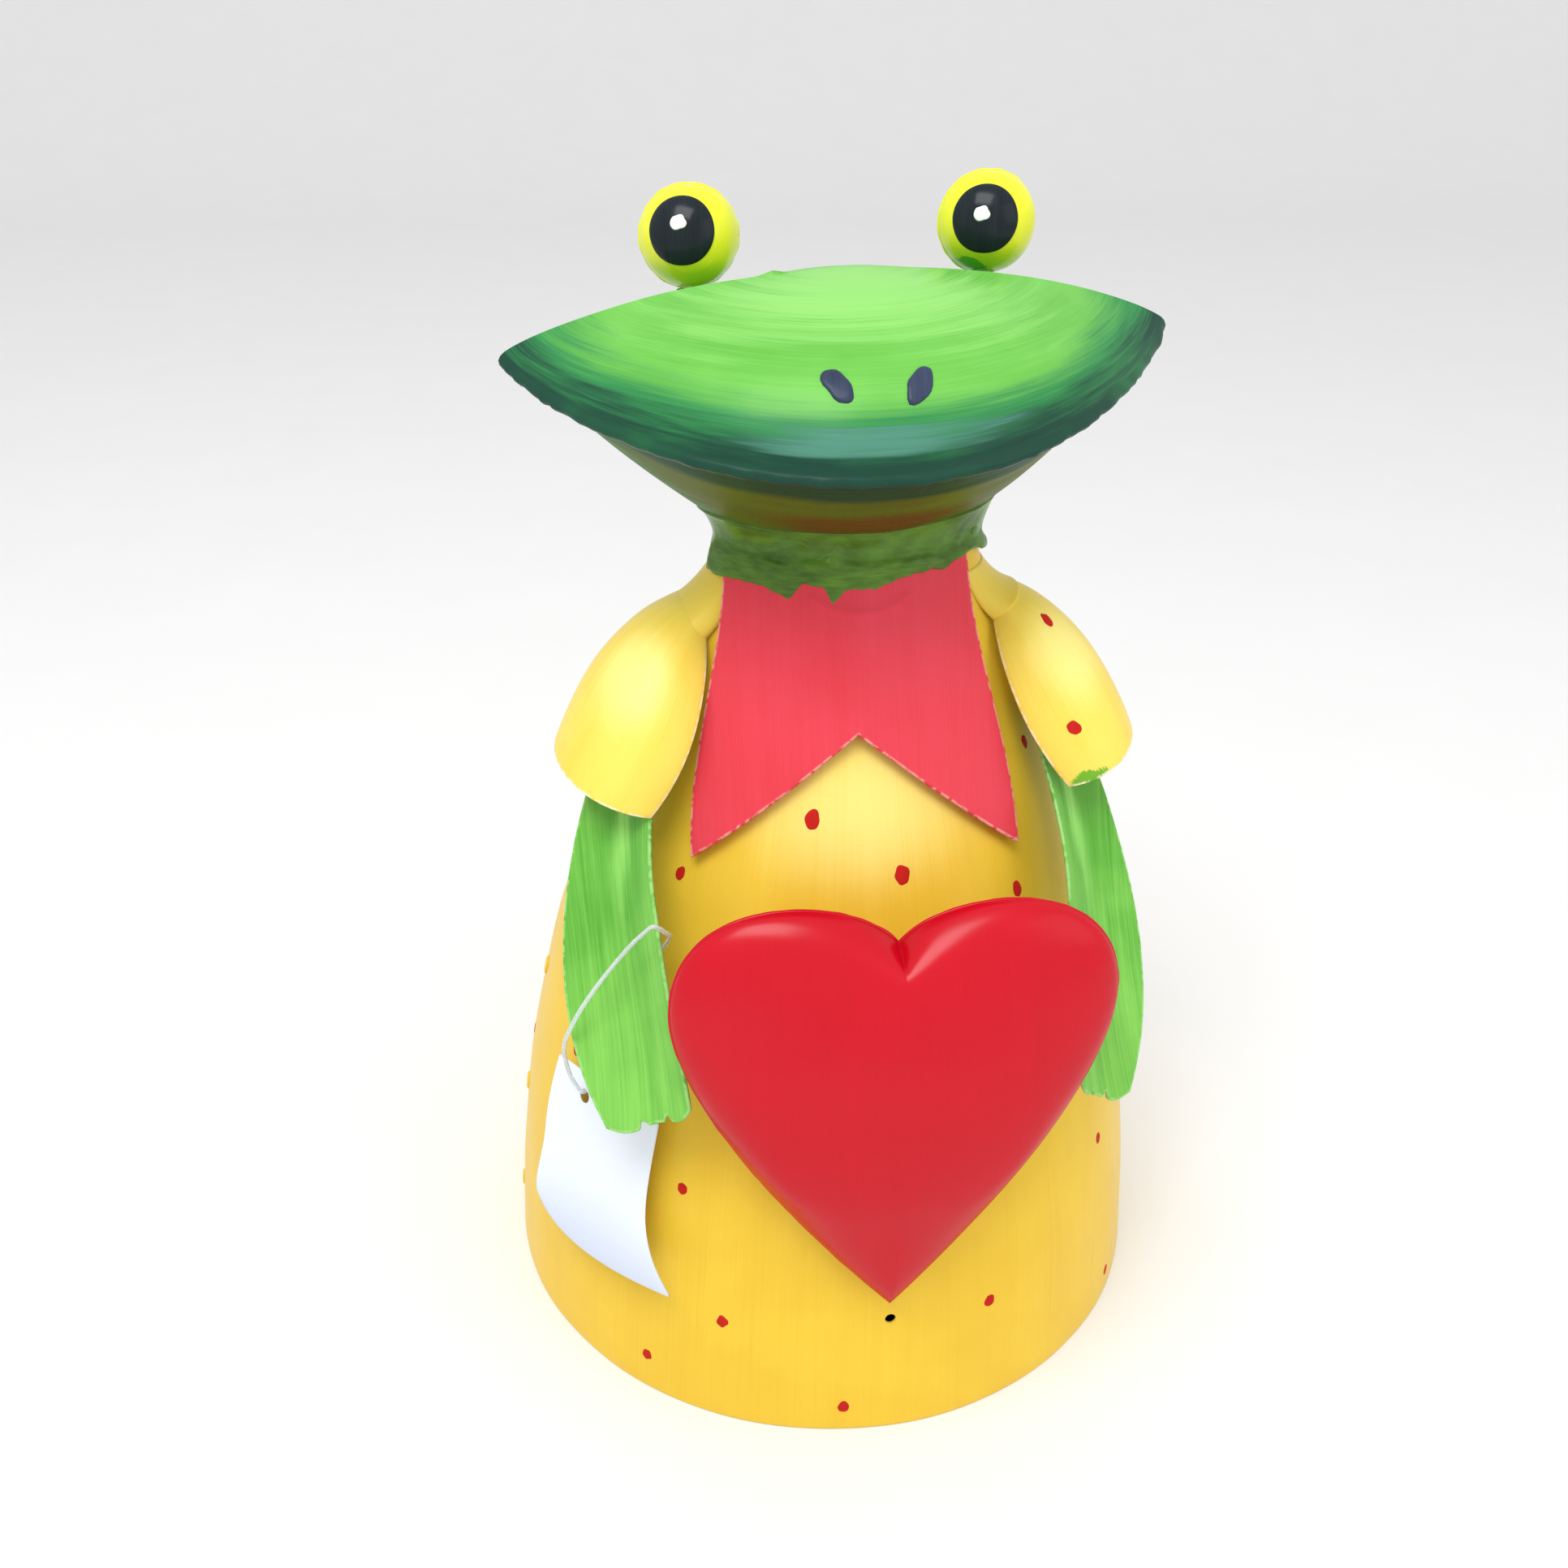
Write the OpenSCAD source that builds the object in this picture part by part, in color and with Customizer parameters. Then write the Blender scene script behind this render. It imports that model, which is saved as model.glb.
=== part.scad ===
// Painted sheet-metal frog standing on an open round skirt, holding a heart.
// The origin is at the middle of the footprint, on the surface it stands on.
// X runs to the viewer's right, the frog looks along -Y, and Z is up.

/* [Sheet metal] */
// Thickness of every metal sheet
sheet_t = 1.0; // [0.6:0.1:1.4]

/* [Body] */
// Radius of the round skirt where it meets the ground
skirt_r = 100; // [95:1:105]
// Height of the neck's top edge
neck_z = 236; // [232:1:240]
// Half the neck's width
neck_r = 34.5; // [33:0.5:36]
// Radius of the round vent hole low on the front
vent_r = 1.5; // [1:0.25:2.5]

/* [Head] */
// Half the mouth's width, from the middle to a corner
mouth_r = 84; // [78:1:88]
// How far the head leans towards the frog's own left, in degrees
head_lean = 1.6; // [0:0.2:3]
// How far the head is turned to the viewer's right, in degrees
head_turn = 3; // [0:0.5:5]
// Radius of an eyeball
eye_r = 12.75; // [11:0.25:13]

/* [Heart] */
// How far the heart's front bulges
heart_front = 17; // [12:1:19]
// How far the heart's back bulges
heart_back = 6; // [4:0.5:6.5]

/* [Hidden] */

hole_sides = 32;
eye_sides = 64;

axis_y = 6.37;           // the skirt's own axis stands this far behind the origin
weld_gap = 0.2;          // clearance left between two welded sheets

// The skirt's side seen from the front: four Bezier points, each radius and height
bell = [[skirt_r, 0], [92, 150], [neck_r + 0.5, 205], [neck_r, neck_z]];
round_z = 60;            // below this height the body is round
neck_depth = 0.68;       // the neck's depth as a share of its width
neck_shift = 2.5;        // how far the neck stands to the viewer's right of the skirt's axis
shift_z = 120;           // the body starts to bend over at this height
body_rows = 18;
body_cols = 24;
vent_z = 40;
vent_depth = 60;         // length of the drill that makes the vent
vent_turn = 3.5;         // the vent sits this many degrees to the viewer's right

band_bottom = neck_z - 9.5;
band_top = neck_z + 0.3;
band_t = 1.7;            // how far the weld stands out from the neck
band_foot = 0.5;         // and how far at its two edges
band_cols = 48;

// Head: the mouth's rim is an almond around this middle point
head_y = -5;
mouth_front = 57;        // from the middle to the front of the lip
mouth_back = 47;
corner_z = 284;          // height of the mouth's corners
lip_z = 262;             // height of the lip's front
crown_z = 300;           // height of the top of the head
corner_blunt = 0.07;     // keeps the mouth's corners blunt
crown_round = 0.6;       // how full the crown is towards its rim
lip_sweep = 1.5;         // how soon the rim drops from the corners to the lip
throat_inset = 3;        // the throat's rim lies this far inside the upper shell
throat_drop = 1.2;
throat_foot = 1.6;       // the throat starts this far above the neck's edge
throat_out = 0.54;       // the funnel's middle: how far out it is on the way to the rim
throat_up = 0.42;        // and how far up
head_cols = 56;

// Middle of each eyeball
eye_left = [-37.4, 23, 303.8];
eye_right = [40.6, 23, 306.9];
spring_r = 3.0;          // middle radius of the coil
spring_wire = 1.2;       // wire diameter
spring_turns = 2.5;
spring_steps = 14;       // rings in each turn
spring_sides = 8;
spring_left_foot = 286.5;   // height where each coil starts, just over the head
spring_right_foot = 288.8;

// Sleeve and arm on the frog's right, the viewer's left, are mirrored from these
// Bezier edges of the one on the viewer's right
sleeve_front_edge = [[39, -12, 213], [38.5, -24, 203], [42, -39, 188], [55.5, -44, 173.5]];
sleeve_crown = [[42.5, -5, 218], [60, -8, 214], [72, -18, 198], [79, -20, 181]];
sleeve_back_edge = [[41, 10, 214], [43, 24, 202], [52, 26, 190], [61, 14, 177]];
arm_outer_edge = [[62, -18, 190], [82, -32, 145], [84, -66, 120], [66, -89, 100]];
arm_inner_edge = [[48, -25, 191], [61, -49, 160], [50, -84, 140]];
hand_left_end = [47, -94.5, 109];    // where each hand meets the heart's edge
hand_right_end = [53, -94.5, 109];
sleeve_left_move = [1.2, 0, -3];    // from its mirrored place, as the neck stands over to the right
sleeve_right_move = [1.6, 0, 0];
arm_along = [0, 0.35, -1];  // roughly down the arm, from the shoulder to the hand
arm_bulge = 0.22;        // the arm's curve across, as a share of its width

// Heart: Bezier outline of its right half in its own plane, from the tip up
heart_flank = [[0, -58], [17, -40], [55, 5], [55.4, 33]];
heart_lobe = [[55.4, 33], [55, 69], [7, 62], [0, 49]];
heart_centre = [0, 10];
heart_x = 3;
heart_y = -95.5;
heart_z = 109.5;
heart_tilt = 6;          // degrees that the heart leans back
heart_steps = 12;        // outline points on each Bezier piece
heart_reach = 40;        // about how far the heart's edge is from its centre
heart_round = 0.55;      // below 1: how full the heart is towards its edge

scarf_top = band_bottom - 0.3;
scarf_top_r = 32;        // half the scarf's width at its top
scarf_tip_r = 44;        // and at its two points
scarf_tip_z = 158.5;
scarf_notch_z = 191;
scarf_gap = 1.4;         // clearance between the scarf's top and the chest
scarf_stand = 2;         // how much further its points stand off

// Tag: turned to the viewer's left round the body, leaning in with the skirt
tag_turn = 51;
tag_lean = 12.6;
tag_z = 65.8;
tag_off = 95.3;        // from the skirt's axis to the card's middle
tag_t = 0.5;
tag_outline = [[-20, 28], [22, 28], [24, -2], [37, -17], [-2, -24], [-15, -18.5], [-18, -10]];
tag_hole = [-7, 21.4];
tag_hole_r = 2;

loop_d = 1.2;
loop_sides = 8;
loop_facing = [-0.78, -0.63, 0]; // square to the loop's plane
loop_route = [
    [-56, -57.5, 134], [-61.5, -53.5, 124], [-67, -50, 112], [-71.5, -48, 100], [-73.3, -50.4, 89],
    [-74.8, -51.5, 88.3], [-76.5, -52.9, 89.5], [-78.6, -57, 98], [-79.4, -62.5, 108], [-79, -68, 118],
    [-75.5, -71, 128], [-70.5, -70.5, 136], [-65.3, -69.5, 142.5], [-60.6, -70.5, 149],
    [-57, -72, 153.6], [-54.8, -73, 155.7], [-51.6, -71, 152], [-50.8, -65, 147], [-52.5, -61, 141]
];
loop_steps = 3;          // rings on each stretch between two route points

// Plain arithmetic on points
function mix(a, b, t) = a + (b - a) * t;
function unit(v) = v / norm(v);
function smooth(t) = let(c = min(max(t, 0), 1)) c * c * (3 - 2 * c);
function bezier(p, t) =
    p[0] * pow(1 - t, 3) + 3 * p[1] * t * pow(1 - t, 2) + 3 * p[2] * t * t * (1 - t) + p[3] * pow(t, 3);

// A smooth path through every point of a route, with steps rings a stretch
function catmull(a, b, c, d, t) =
    0.5 * (2 * b + (c - a) * t + (2 * a - 5 * b + 4 * c - d) * t * t + (3 * b - a - 3 * c + d) * pow(t, 3));
function smooth_path(route, steps) =
    let(last = len(route) - 1)
    [for (i = [0:last - 1]) for (k = [0:steps - (i == last - 1 ? 0 : 1)])
        catmull(route[max(i - 1, 0)], route[i], route[i + 1], route[min(i + 2, last)], k / steps)];

// The body's half width and half depth at height z
function bell_t(z, low = 0, high = 1, left = 24) =
    let(t = (low + high) / 2)
    left == 0 ? t : bezier(bell, t)[1] < z ? bell_t(z, t, high, left - 1) : bell_t(z, low, t, left - 1);
function body_w(z) = bezier(bell, bell_t(z))[0];
function body_shift(z) = neck_shift * smooth((z - shift_z) / (neck_z - shift_z));
function body_k(z) = 1 - (1 - neck_depth) * smooth((z - round_z) / (neck_z - round_z));
function body_point(turn, z, out = 0) =
    let(w = body_w(z))
    [body_shift(z) + (w + out) * sin(turn), -(w * body_k(z) + out) * cos(turn), z];

// Where the body's front lies at x and height z, moved out by out
function body_front_y(x, z, out) =
    let(w = body_w(z) + out, d = body_w(z) * body_k(z) + out)
    -d * sqrt(max(0.02, 1 - pow((x - body_shift(z)) / w, 2)));

// Mouth rim and the two surfaces that meet it
function rim_point(turn, inset = 0, drop = 0) =
    let(depth = (cos(turn) > 0 ? mouth_front : mouth_back) - inset, c = abs(cos(turn)))
    [(mouth_r - inset) * sin(turn),
     head_y - sign(cos(turn)) * depth * (c * c + corner_blunt * c * abs(sin(turn))),
     mix(corner_z, lip_z, pow(c, lip_sweep)) - drop];
function crown_point(turn, s, t) =
    let(rim = rim_point(turn), k = 1 - t / mouth_r)
    [rim[0] * s * k, head_y + (rim[1] - head_y) * s * k,
     mix(rim[2], crown_z, pow(1 - s * s, crown_round)) - (s < 1 ? t : 0)];
function throat_point(turn, s) =
    let(low = body_point(turn, neck_z) + [0, 0, throat_foot],
        high = rim_point(turn, throat_inset, throat_drop),
        mid = [mix(low[0], high[0], throat_out),
               mix(low[1], high[1], throat_out),
               mix(low[2], high[2], throat_up)])
    low * pow(1 - s, 2) + mid * 2 * s * (1 - s) + high * s * s;

// Half an ellipse from one edge over a crown to the other edge
function arch(front, crown, back, turn) =
    let(mid = (front + back) / 2)
    mid + (front - mid) * cos(turn) + (crown - mid) * sin(turn);

// The grid of points one sheet thickness under a grid, where rows run up and
// columns run to the right as seen from outside
function inside(grid, t, closed = false) =
    let(rows = len(grid), cols = len(grid[0]))
    [for (i = [0:rows - 1]) [for (j = [0:cols - 1])
        let(up = grid[min(i + 1, rows - 1)][j] - grid[max(i - 1, 0)][j],
            right = closed
                ? grid[i][(j + 1) % cols] - grid[i][(j + cols - 1) % cols]
                : grid[i][min(j + 1, cols - 1)] - grid[i][max(j - 1, 0)])
        grid[i][j] - t * unit(cross(right, up))]];

// Triangles over a grid of points, and round the edge between two grids
function grid_faces(rows, cols, first, closed, inner) =
    [for (i = [0:rows - 2]) for (j = [0:cols - (closed ? 1 : 2)])
        let(a = first + i * cols + j, b = first + i * cols + (j + 1) % cols, c = a + cols, d = b + cols)
        each inner ? [[a, b, d], [a, d, c]] : [[a, c, d], [a, d, b]]];
function edge_faces(loop, shift) =
    [for (k = [0:len(loop) - 1])
        let(a = loop[k], b = loop[(k + 1) % len(loop)])
        each [[a, b, b + shift], [a, b + shift, a + shift]]];
function fan_faces(first, cols, pole, inner) =
    [for (j = [0:cols - 1])
        let(a = first + j, b = first + (j + 1) % cols)
        inner ? [a, b, pole] : [b, a, pole]];
function flat(rows) = [for (row = rows) each row];

// One sheet between its outer and its inner grid, open on all four sides
module sheet(outer, inner) {
    rows = len(outer);
    cols = len(outer[0]);
    shift = rows * cols;
    loop = concat(
        [for (j = [0:cols - 1]) j],
        [for (i = [1:rows - 1]) i * cols + cols - 1],
        [for (j = [cols - 2:-1:0]) (rows - 1) * cols + j],
        [for (i = [rows - 2:-1:1]) i * cols]);
    polyhedron(
        concat(flat(outer), flat(inner)),
        concat(grid_faces(rows, cols, 0, false, false), grid_faces(rows, cols, shift, false, true),
               edge_faces(loop, shift)),
        convexity = 6);
}

// A sheet that closes round on itself, open at its bottom and its top edge
module sleeve_sheet(outer, inner) {
    rows = len(outer);
    cols = len(outer[0]);
    shift = rows * cols;
    polyhedron(
        concat(flat(outer), flat(inner)),
        concat(grid_faces(rows, cols, 0, true, false), grid_faces(rows, cols, shift, true, true),
               edge_faces([for (j = [0:cols - 1]) j], shift),
               edge_faces([for (j = [cols - 1:-1:0]) shift - cols + j], shift)),
        convexity = 6);
}

// A sheet that closes round on itself and over a top point
module dome_sheet(outer, inner, outer_top, inner_top) {
    rows = len(outer);
    cols = len(outer[0]);
    shift = rows * cols;
    polyhedron(
        concat(flat(outer), flat(inner), [outer_top, inner_top]),
        concat(grid_faces(rows, cols, 0, true, false), grid_faces(rows, cols, shift, true, true),
               edge_faces([for (j = [0:cols - 1]) j], shift),
               fan_faces(shift - cols, cols, 2 * shift, false),
               fan_faces(2 * shift - cols, cols, 2 * shift + 1, true)),
        convexity = 6);
}

// A round wire along a path that nowhere runs along the direction facing
function wire_ring(path, i, r, sides, facing) =
    let(along = unit(path[min(i + 1, len(path) - 1)] - path[max(i - 1, 0)]),
        side = unit(cross(along, facing)), up = cross(side, along))
    [for (k = [0:sides - 1]) path[i] + r * (side * cos(360 * k / sides) + up * sin(360 * k / sides))];
module wire(path, r, sides, facing) {
    rings = [for (i = [0:len(path) - 1]) wire_ring(path, i, r, sides, facing)];
    n = len(path);
    polyhedron(
        flat(rings),
        concat(grid_faces(n, sides, 0, true, true),
               [[for (k = [sides - 1:-1:0]) k]],
               [[for (k = [0:sides - 1]) (n - 1) * sides + k]]),
        convexity = 8);
}

module on_axis() {
    translate([0, axis_y, 0]) children();
}

// The whole head leans about the middle of the neck's top
module leaning() {
    on_axis() translate([0, 0, neck_z]) rotate([0, -head_lean, head_turn])
        translate([0, 0, -neck_z]) children();
}

module body_half(first_turn) {
    outer = [for (i = [0:body_rows]) let(z = bezier(bell, i / body_rows)[1])
        [for (j = [0:body_cols]) body_point(first_turn + 180 * j / body_cols, z)]];
    inner = [for (row = outer) [for (p = row) p - sheet_t * unit([p[0], p[1] / body_k(p[2]), 0])]];
    on_axis() sheet(outer, inner);
}

module body_front_shell() {
    color("gold") difference() {
        body_half(-90);
        on_axis() rotate([0, 0, vent_turn]) translate([0, -skirt_r, vent_z])
            rotate([90, 0, 0]) cylinder(r = vent_r, h = vent_depth, center = true, $fn = hole_sides);
    }
}

module body_back_shell() {
    color("goldenrod") body_half(90);
}

module neck_weld_band() {
    heights = [0, 0.15, 0.4, 0.7, 0.9, 1];
    function ring(s, out) = [for (j = [0:band_cols - 1])
        band_point(360 * j / band_cols, mix(band_bottom, band_top, s), weld_gap + out)];
    outer = [for (s = heights) ring(s, mix(band_foot, band_t, sin(180 * s)))];
    inner = [for (s = heights) ring(s, 0)];
    color("olivedrab") on_axis() sleeve_sheet(outer, inner);
}

// The weld follows the neck and stands a little above its top edge
function band_point(turn, z, out) =
    let(p = body_point(turn, min(z, neck_z), out)) [p[0], p[1], z];

module head_upper_shell() {
    steps = [1, 0.985, 0.95, 0.9, 0.82, 0.72, 0.6, 0.46, 0.3, 0.15];
    outer = [for (s = steps) [for (j = [0:head_cols - 1]) crown_point(360 * j / head_cols, s, 0)]];
    inner = [for (s = steps) [for (j = [0:head_cols - 1]) crown_point(360 * j / head_cols, s, sheet_t)]];
    color("limegreen") leaning()
        dome_sheet(outer, inner, [0, head_y, crown_z], [0, head_y, crown_z - sheet_t]);
}

module head_throat_shell() {
    rows = 10;
    outer = [for (i = [0:rows]) [for (j = [0:head_cols - 1]) throat_point(360 * j / head_cols, i / rows)]];
    color("darkgreen") leaning() sleeve_sheet(outer, inside(outer, sheet_t, true));
}

module eye_half(middle, back) {
    color("yellow") on_axis() translate(middle)
        rotate([back ? -90 : 90, 0, 0]) rotate_extrude($fn = eye_sides) difference() {
            intersection() {
                circle(r = eye_r, $fn = eye_sides);
                translate([0, weld_gap / 2]) square([eye_r, eye_r]);
            }
            circle(r = eye_r - sheet_t, $fn = eye_sides);
        }
}

module eye_spring(eye, foot) {
    top = eye[2] - sqrt(pow(eye_r, 2) - pow(spring_r, 2)) - spring_wire / 2 - weld_gap;
    steps = spring_turns * spring_steps;
    path = [for (i = [0:steps]) let(turn = 360 * i / spring_steps)
        [eye[0] + spring_r * cos(turn), eye[1] + spring_r * sin(turn), mix(foot, top, i / steps)]];
    color("green") on_axis() wire(path, spring_wire / 2, spring_sides, [0, 0, 1]);
}

module sleeve() {
    rows = 12;
    cols = 14;
    outer = [for (i = [rows:-1:0]) [for (j = [0:cols])
        let(s = i / rows, front = bezier(sleeve_front_edge, s), back = bezier(sleeve_back_edge, s))
        arch(front, bezier(sleeve_crown, s), back, 180 * j / cols)]];
    color("khaki") on_axis() sheet(outer, inside(outer, sheet_t));
}

module arm(hand_end) {
    inner_edge = concat(arm_inner_edge, [hand_end]);
    rows = 18;
    cols = 8;
    outer = [for (i = [rows:-1:0]) [for (j = [0:cols]) let(s = i / rows, a = bezier(inner_edge, s),
        b = bezier(arm_outer_edge, s), across = b - a, out = unit(cross(across, arm_along)))
        mix(a, b, j / cols) + out * arm_bulge * norm(across) * sin(180 * j / cols)]];
    on_axis() sheet(outer, inside(outer, sheet_t));
}

// Closed outline of the heart, anticlockwise as seen from the front
function heart_outline() =
    concat(
        [for (i = [0:heart_steps - 1]) bezier(heart_flank, i / heart_steps)],
        [for (i = [0:heart_steps - 1]) bezier(heart_lobe, i / heart_steps)],
        [for (i = [heart_steps:-1:1]) let(p = bezier(heart_lobe, i / heart_steps)) [-p[0], p[1]]],
        [for (i = [heart_steps:-1:1]) let(p = bezier(heart_flank, i / heart_steps)) [-p[0], p[1]]]);

module heart_half(bulge) {
    steps = [1, 0.97, 0.9, 0.8, 0.66, 0.5, 0.33, 0.16];
    outline = heart_outline();
    wall = 1 - sheet_t / heart_reach;
    function ring(s, shrink, depth) = [for (p = outline) let(q = mix(heart_centre, p, s * shrink))
        [q[0], -depth * pow(1 - s * s, heart_round) - weld_gap / 2, q[1]]];
    outer = [for (s = steps) ring(s, 1, bulge)];
    inner = [for (s = steps) ring(s, wall, bulge - sheet_t)];
    top = [heart_centre[0], -bulge - weld_gap / 2, heart_centre[1]];
    dome_sheet(outer, inner, top, top + [0, sheet_t, 0]);
}

module in_heart_plane() {
    on_axis() translate([heart_x, heart_y, heart_z]) rotate([-heart_tilt, 0, 0]) children();
}

module heart_front_shell() {
    color("crimson") in_heart_plane() heart_half(heart_front);
}

module heart_back_shell() {
    color("darkred") in_heart_plane() mirror([0, 1, 0]) heart_half(heart_back);
}

module scarf() {
    rows = 14;
    cols = 20;
    outer = [for (i = [0:rows]) [for (j = [0:cols])
        let(s = i / rows, u = 2 * j / cols - 1,
            low = mix(scarf_notch_z, scarf_tip_z, abs(u)), z = mix(low, scarf_top, s),
            x = u * mix(scarf_tip_r, scarf_top_r, smooth(s)),
            off = scarf_gap + sheet_t + scarf_stand * (1 - s))
        [x, body_front_y(x, z, off), z]]];
    color("red") on_axis() sheet(outer, inside(outer, sheet_t));
}

module in_tag_plane() {
    on_axis() rotate([0, 0, -tag_turn]) translate([0, -tag_off, tag_z])
        rotate([90 - tag_lean, 0, 0]) children();
}

module hang_tag() {
    color("white") in_tag_plane() linear_extrude(tag_t) difference() {
        polygon(tag_outline);
        translate(tag_hole) circle(r = tag_hole_r, $fn = hole_sides);
    }
}

module tag_loop() {
    path = smooth_path(loop_route, loop_steps);
    color("lightblue") on_axis() wire(path, loop_d / 2, loop_sides, loop_facing);
}

body_front_shell();
body_back_shell();
neck_weld_band();
head_upper_shell();
head_throat_shell();
eye_spring(eye_left, spring_left_foot);  // eye_left_spring
eye_half(eye_left, false);  // eye_left_front_half
eye_half(eye_left, true);  // eye_left_back_half
eye_spring(eye_right, spring_right_foot);  // eye_right_spring
eye_half(eye_right, false);  // eye_right_front_half
eye_half(eye_right, true);  // eye_right_back_half
translate(sleeve_left_move) mirror([1, 0, 0]) sleeve();  // sleeve_left
translate(sleeve_right_move) sleeve();  // sleeve_right
color("forestgreen") mirror([1, 0, 0]) arm(hand_left_end);  // arm_left
color("forestgreen") arm(hand_right_end);  // arm_right
heart_front_shell();
heart_back_shell();
scarf();
hang_tag();
tag_loop();
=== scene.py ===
"""Looks of a hand-painted sheet-metal frog that holds a heart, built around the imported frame.

Shapes are worked out in millimetres round the skirt's own axis, and go into metres in the
shared frame in one place, to_frame().
"""

import math

import bmesh
import bpy
import numpy as np
from mathutils import Euler, Matrix, Vector, noise


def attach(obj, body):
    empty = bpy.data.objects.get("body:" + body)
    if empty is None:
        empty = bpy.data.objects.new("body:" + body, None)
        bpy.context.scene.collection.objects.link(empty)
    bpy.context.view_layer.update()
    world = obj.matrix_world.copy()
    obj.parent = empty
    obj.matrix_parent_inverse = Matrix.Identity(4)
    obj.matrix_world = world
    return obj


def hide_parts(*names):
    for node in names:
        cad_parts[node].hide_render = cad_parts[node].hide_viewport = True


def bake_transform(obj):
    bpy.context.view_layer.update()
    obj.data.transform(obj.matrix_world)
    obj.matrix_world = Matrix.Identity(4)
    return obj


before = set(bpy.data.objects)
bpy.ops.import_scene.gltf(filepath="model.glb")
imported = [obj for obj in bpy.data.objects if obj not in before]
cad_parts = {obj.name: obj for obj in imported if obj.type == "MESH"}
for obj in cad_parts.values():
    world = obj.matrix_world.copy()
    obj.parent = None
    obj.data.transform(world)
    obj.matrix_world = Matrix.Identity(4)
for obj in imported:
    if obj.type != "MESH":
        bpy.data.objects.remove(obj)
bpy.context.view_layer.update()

MM = 0.001
AXIS_Y = 6.37  # the skirt's own axis stands this far behind the origin
SHEET_T = 1.0

BELL = [(100, 0), (92, 150), (35, 205), (34.5, 236)]
ROUND_Z = 60
FOOT_LIFT = 0.4  # keeps the rounded bottom edge on the floor
NECK_Z = 236
NECK_DEPTH = 0.68
NECK_SHIFT = 2.5
SHIFT_Z = 120
BAND_BOTTOM = 226.5
BAND_TOP = 236.3
SMEAR_TURN = 84
SMEAR_OUT = 1.5  # the smeared paint and weld lie over the scarf's top edge
SMEAR_DROP = 2.2
BEAD_OUT = 1.4
VENT_TURN = 3.0  # the small round hole low on the front
VENT_Z = 39.2
VENT_R = 1.5
SIDE_WELD_Z = (12, 52, 96, 138, 182, 214)
SIDE_WELD_R = (1.7, 3.2)

HEAD_Y = -5
HEAD_LEAN = 1.6
HEAD_TURN = 3
MOUTH_R = 84
MOUTH_FRONT = 57
MOUTH_BACK = 47
CORNER_Z = 284
LIP_Z = 262
LIP_LIFT = 3.0  # the skin stands this far over the rim where the crimped lip starts
# how far out and down each row of the lip is, in mm, and its share of the crimp
LIP_PROFILE = [(-0.9, 3.0, 0.4), (0.2, 3.2, 0.9), (0.95, 2.5, 1.0), (1.1, 1.6, 1.0), (0.7, 0.7, 0.6)]
CROWN_Z = 300
DOME_POWER = 0.6
CORNER_POWER = 0.85  # flatter towards the mouth's corners, which come to a point
CORNER_BLUNT = 0.07
THROAT_INSET = 3
THROAT_DROP = 1.2
THROAT_FOOT = 1.6
THROAT_OUT = 0.54
THROAT_UP = 0.42

EYE_R = 12.75
EYES = {"left": (-37.4, 23, 303.8), "right": (40.6, 23, 306.9)}
SPRING_FOOT = {"left": 286.5, "right": 288.8}
COIL_GAP = 0.6  # between the coil and the ball, which nods on it
SPRING_SINK = 1.6  # takes the coil's end down onto the head
SPRING_R = 3.0
SPRING_WIRE = 1.2
SPRING_TURNS = 2.5
PUPIL_LIFT = 0.3
PUPIL_R = 8.9
PUPIL_AIM = {"left": (-13.4, 14.2), "right": (-15.3, 10.4)}  # degrees sideways and up
GLINT_AT = {"left": (-0.6, 1.6), "right": (-1.0, 1.0)}  # from the pupil's middle
GLINT_R = (2.0, 1.9)
NOSTRILS = [(-9, 0.838, -0.45), (6.3, 0.845, 0.45)]  # turn, share of the way to the rim, slant
NOSTRIL_R = (2.1, 2.7)

SLEEVE_FRONT = [(39, -12, 213), (38.5, -24, 203), (42, -39, 188), (55.5, -44, 173.5)]
SLEEVE_CROWN = [(42.5, -5, 218), (60, -8, 214), (72, -18, 198), (79, -20, 181)]
SLEEVE_BACK = [(41, 10, 214), (43, 24, 202), (52, 26, 190), (61, 14, 177)]
ARM_OUTER = [(62, -18, 190), (82, -32, 145), (84, -66, 120), (66, -89, 100)]
ARM_INNER = [(48, -25, 191), (61, -49, 160), (50, -84, 140)]
SHOULDER_Z = 224
SHOULDER_TURNS = (52, 128)  # the stretch of the neck that the flare leaves from
SHOULDER_REACH = 0.10  # where it meets the sleeve, as a share of the sleeve's length
SHOULDER_SAG = 3
SLEEVE_MOVE = {"left": (1.2, 0, -3), "right": (1.6, 0, 0)}
HAND_END = {"left": (47, -94.5, 109), "right": (53, -94.5, 109)}
ARM_BULGE = 0.22
ARM_ALONG = (0, 0.35, -1)  # about the way an arm runs
ARM_RUN = 110  # about an arm's length and width
ARM_WIDTH = 24
FINGER_GAP = 0.02  # depth of the gaps between fingers, as a share of the arm
HAND_ROUND = 0.055  # how much of the arm's length the hand's corners lose

HEART_FLANK = [(0, -58), (17, -40), (55, 5), (55.4, 33)]
HEART_LOBE = [(55.4, 33), (55, 69), (7, 62), (0, 49)]
HEART_CENTRE = (0, 10)
HEART_ROUND_R = 50
HEART_SOFT = 0.95
HEART_POWER = 0.55
HEART_AT = (3, -95.5, 109.5)
HEART_TILT = 6
HEART_FRONT = 17
HEART_BACK = 6
HALF_GAP = 0.1  # each welded half stands this far off the seam

SCARF_TOP = 231.5
SCARF_TOP_R = 32
SCARF_TIP_R = 44
SCARF_TIP_Z = 158.5
SCARF_NOTCH_Z = 191

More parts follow.
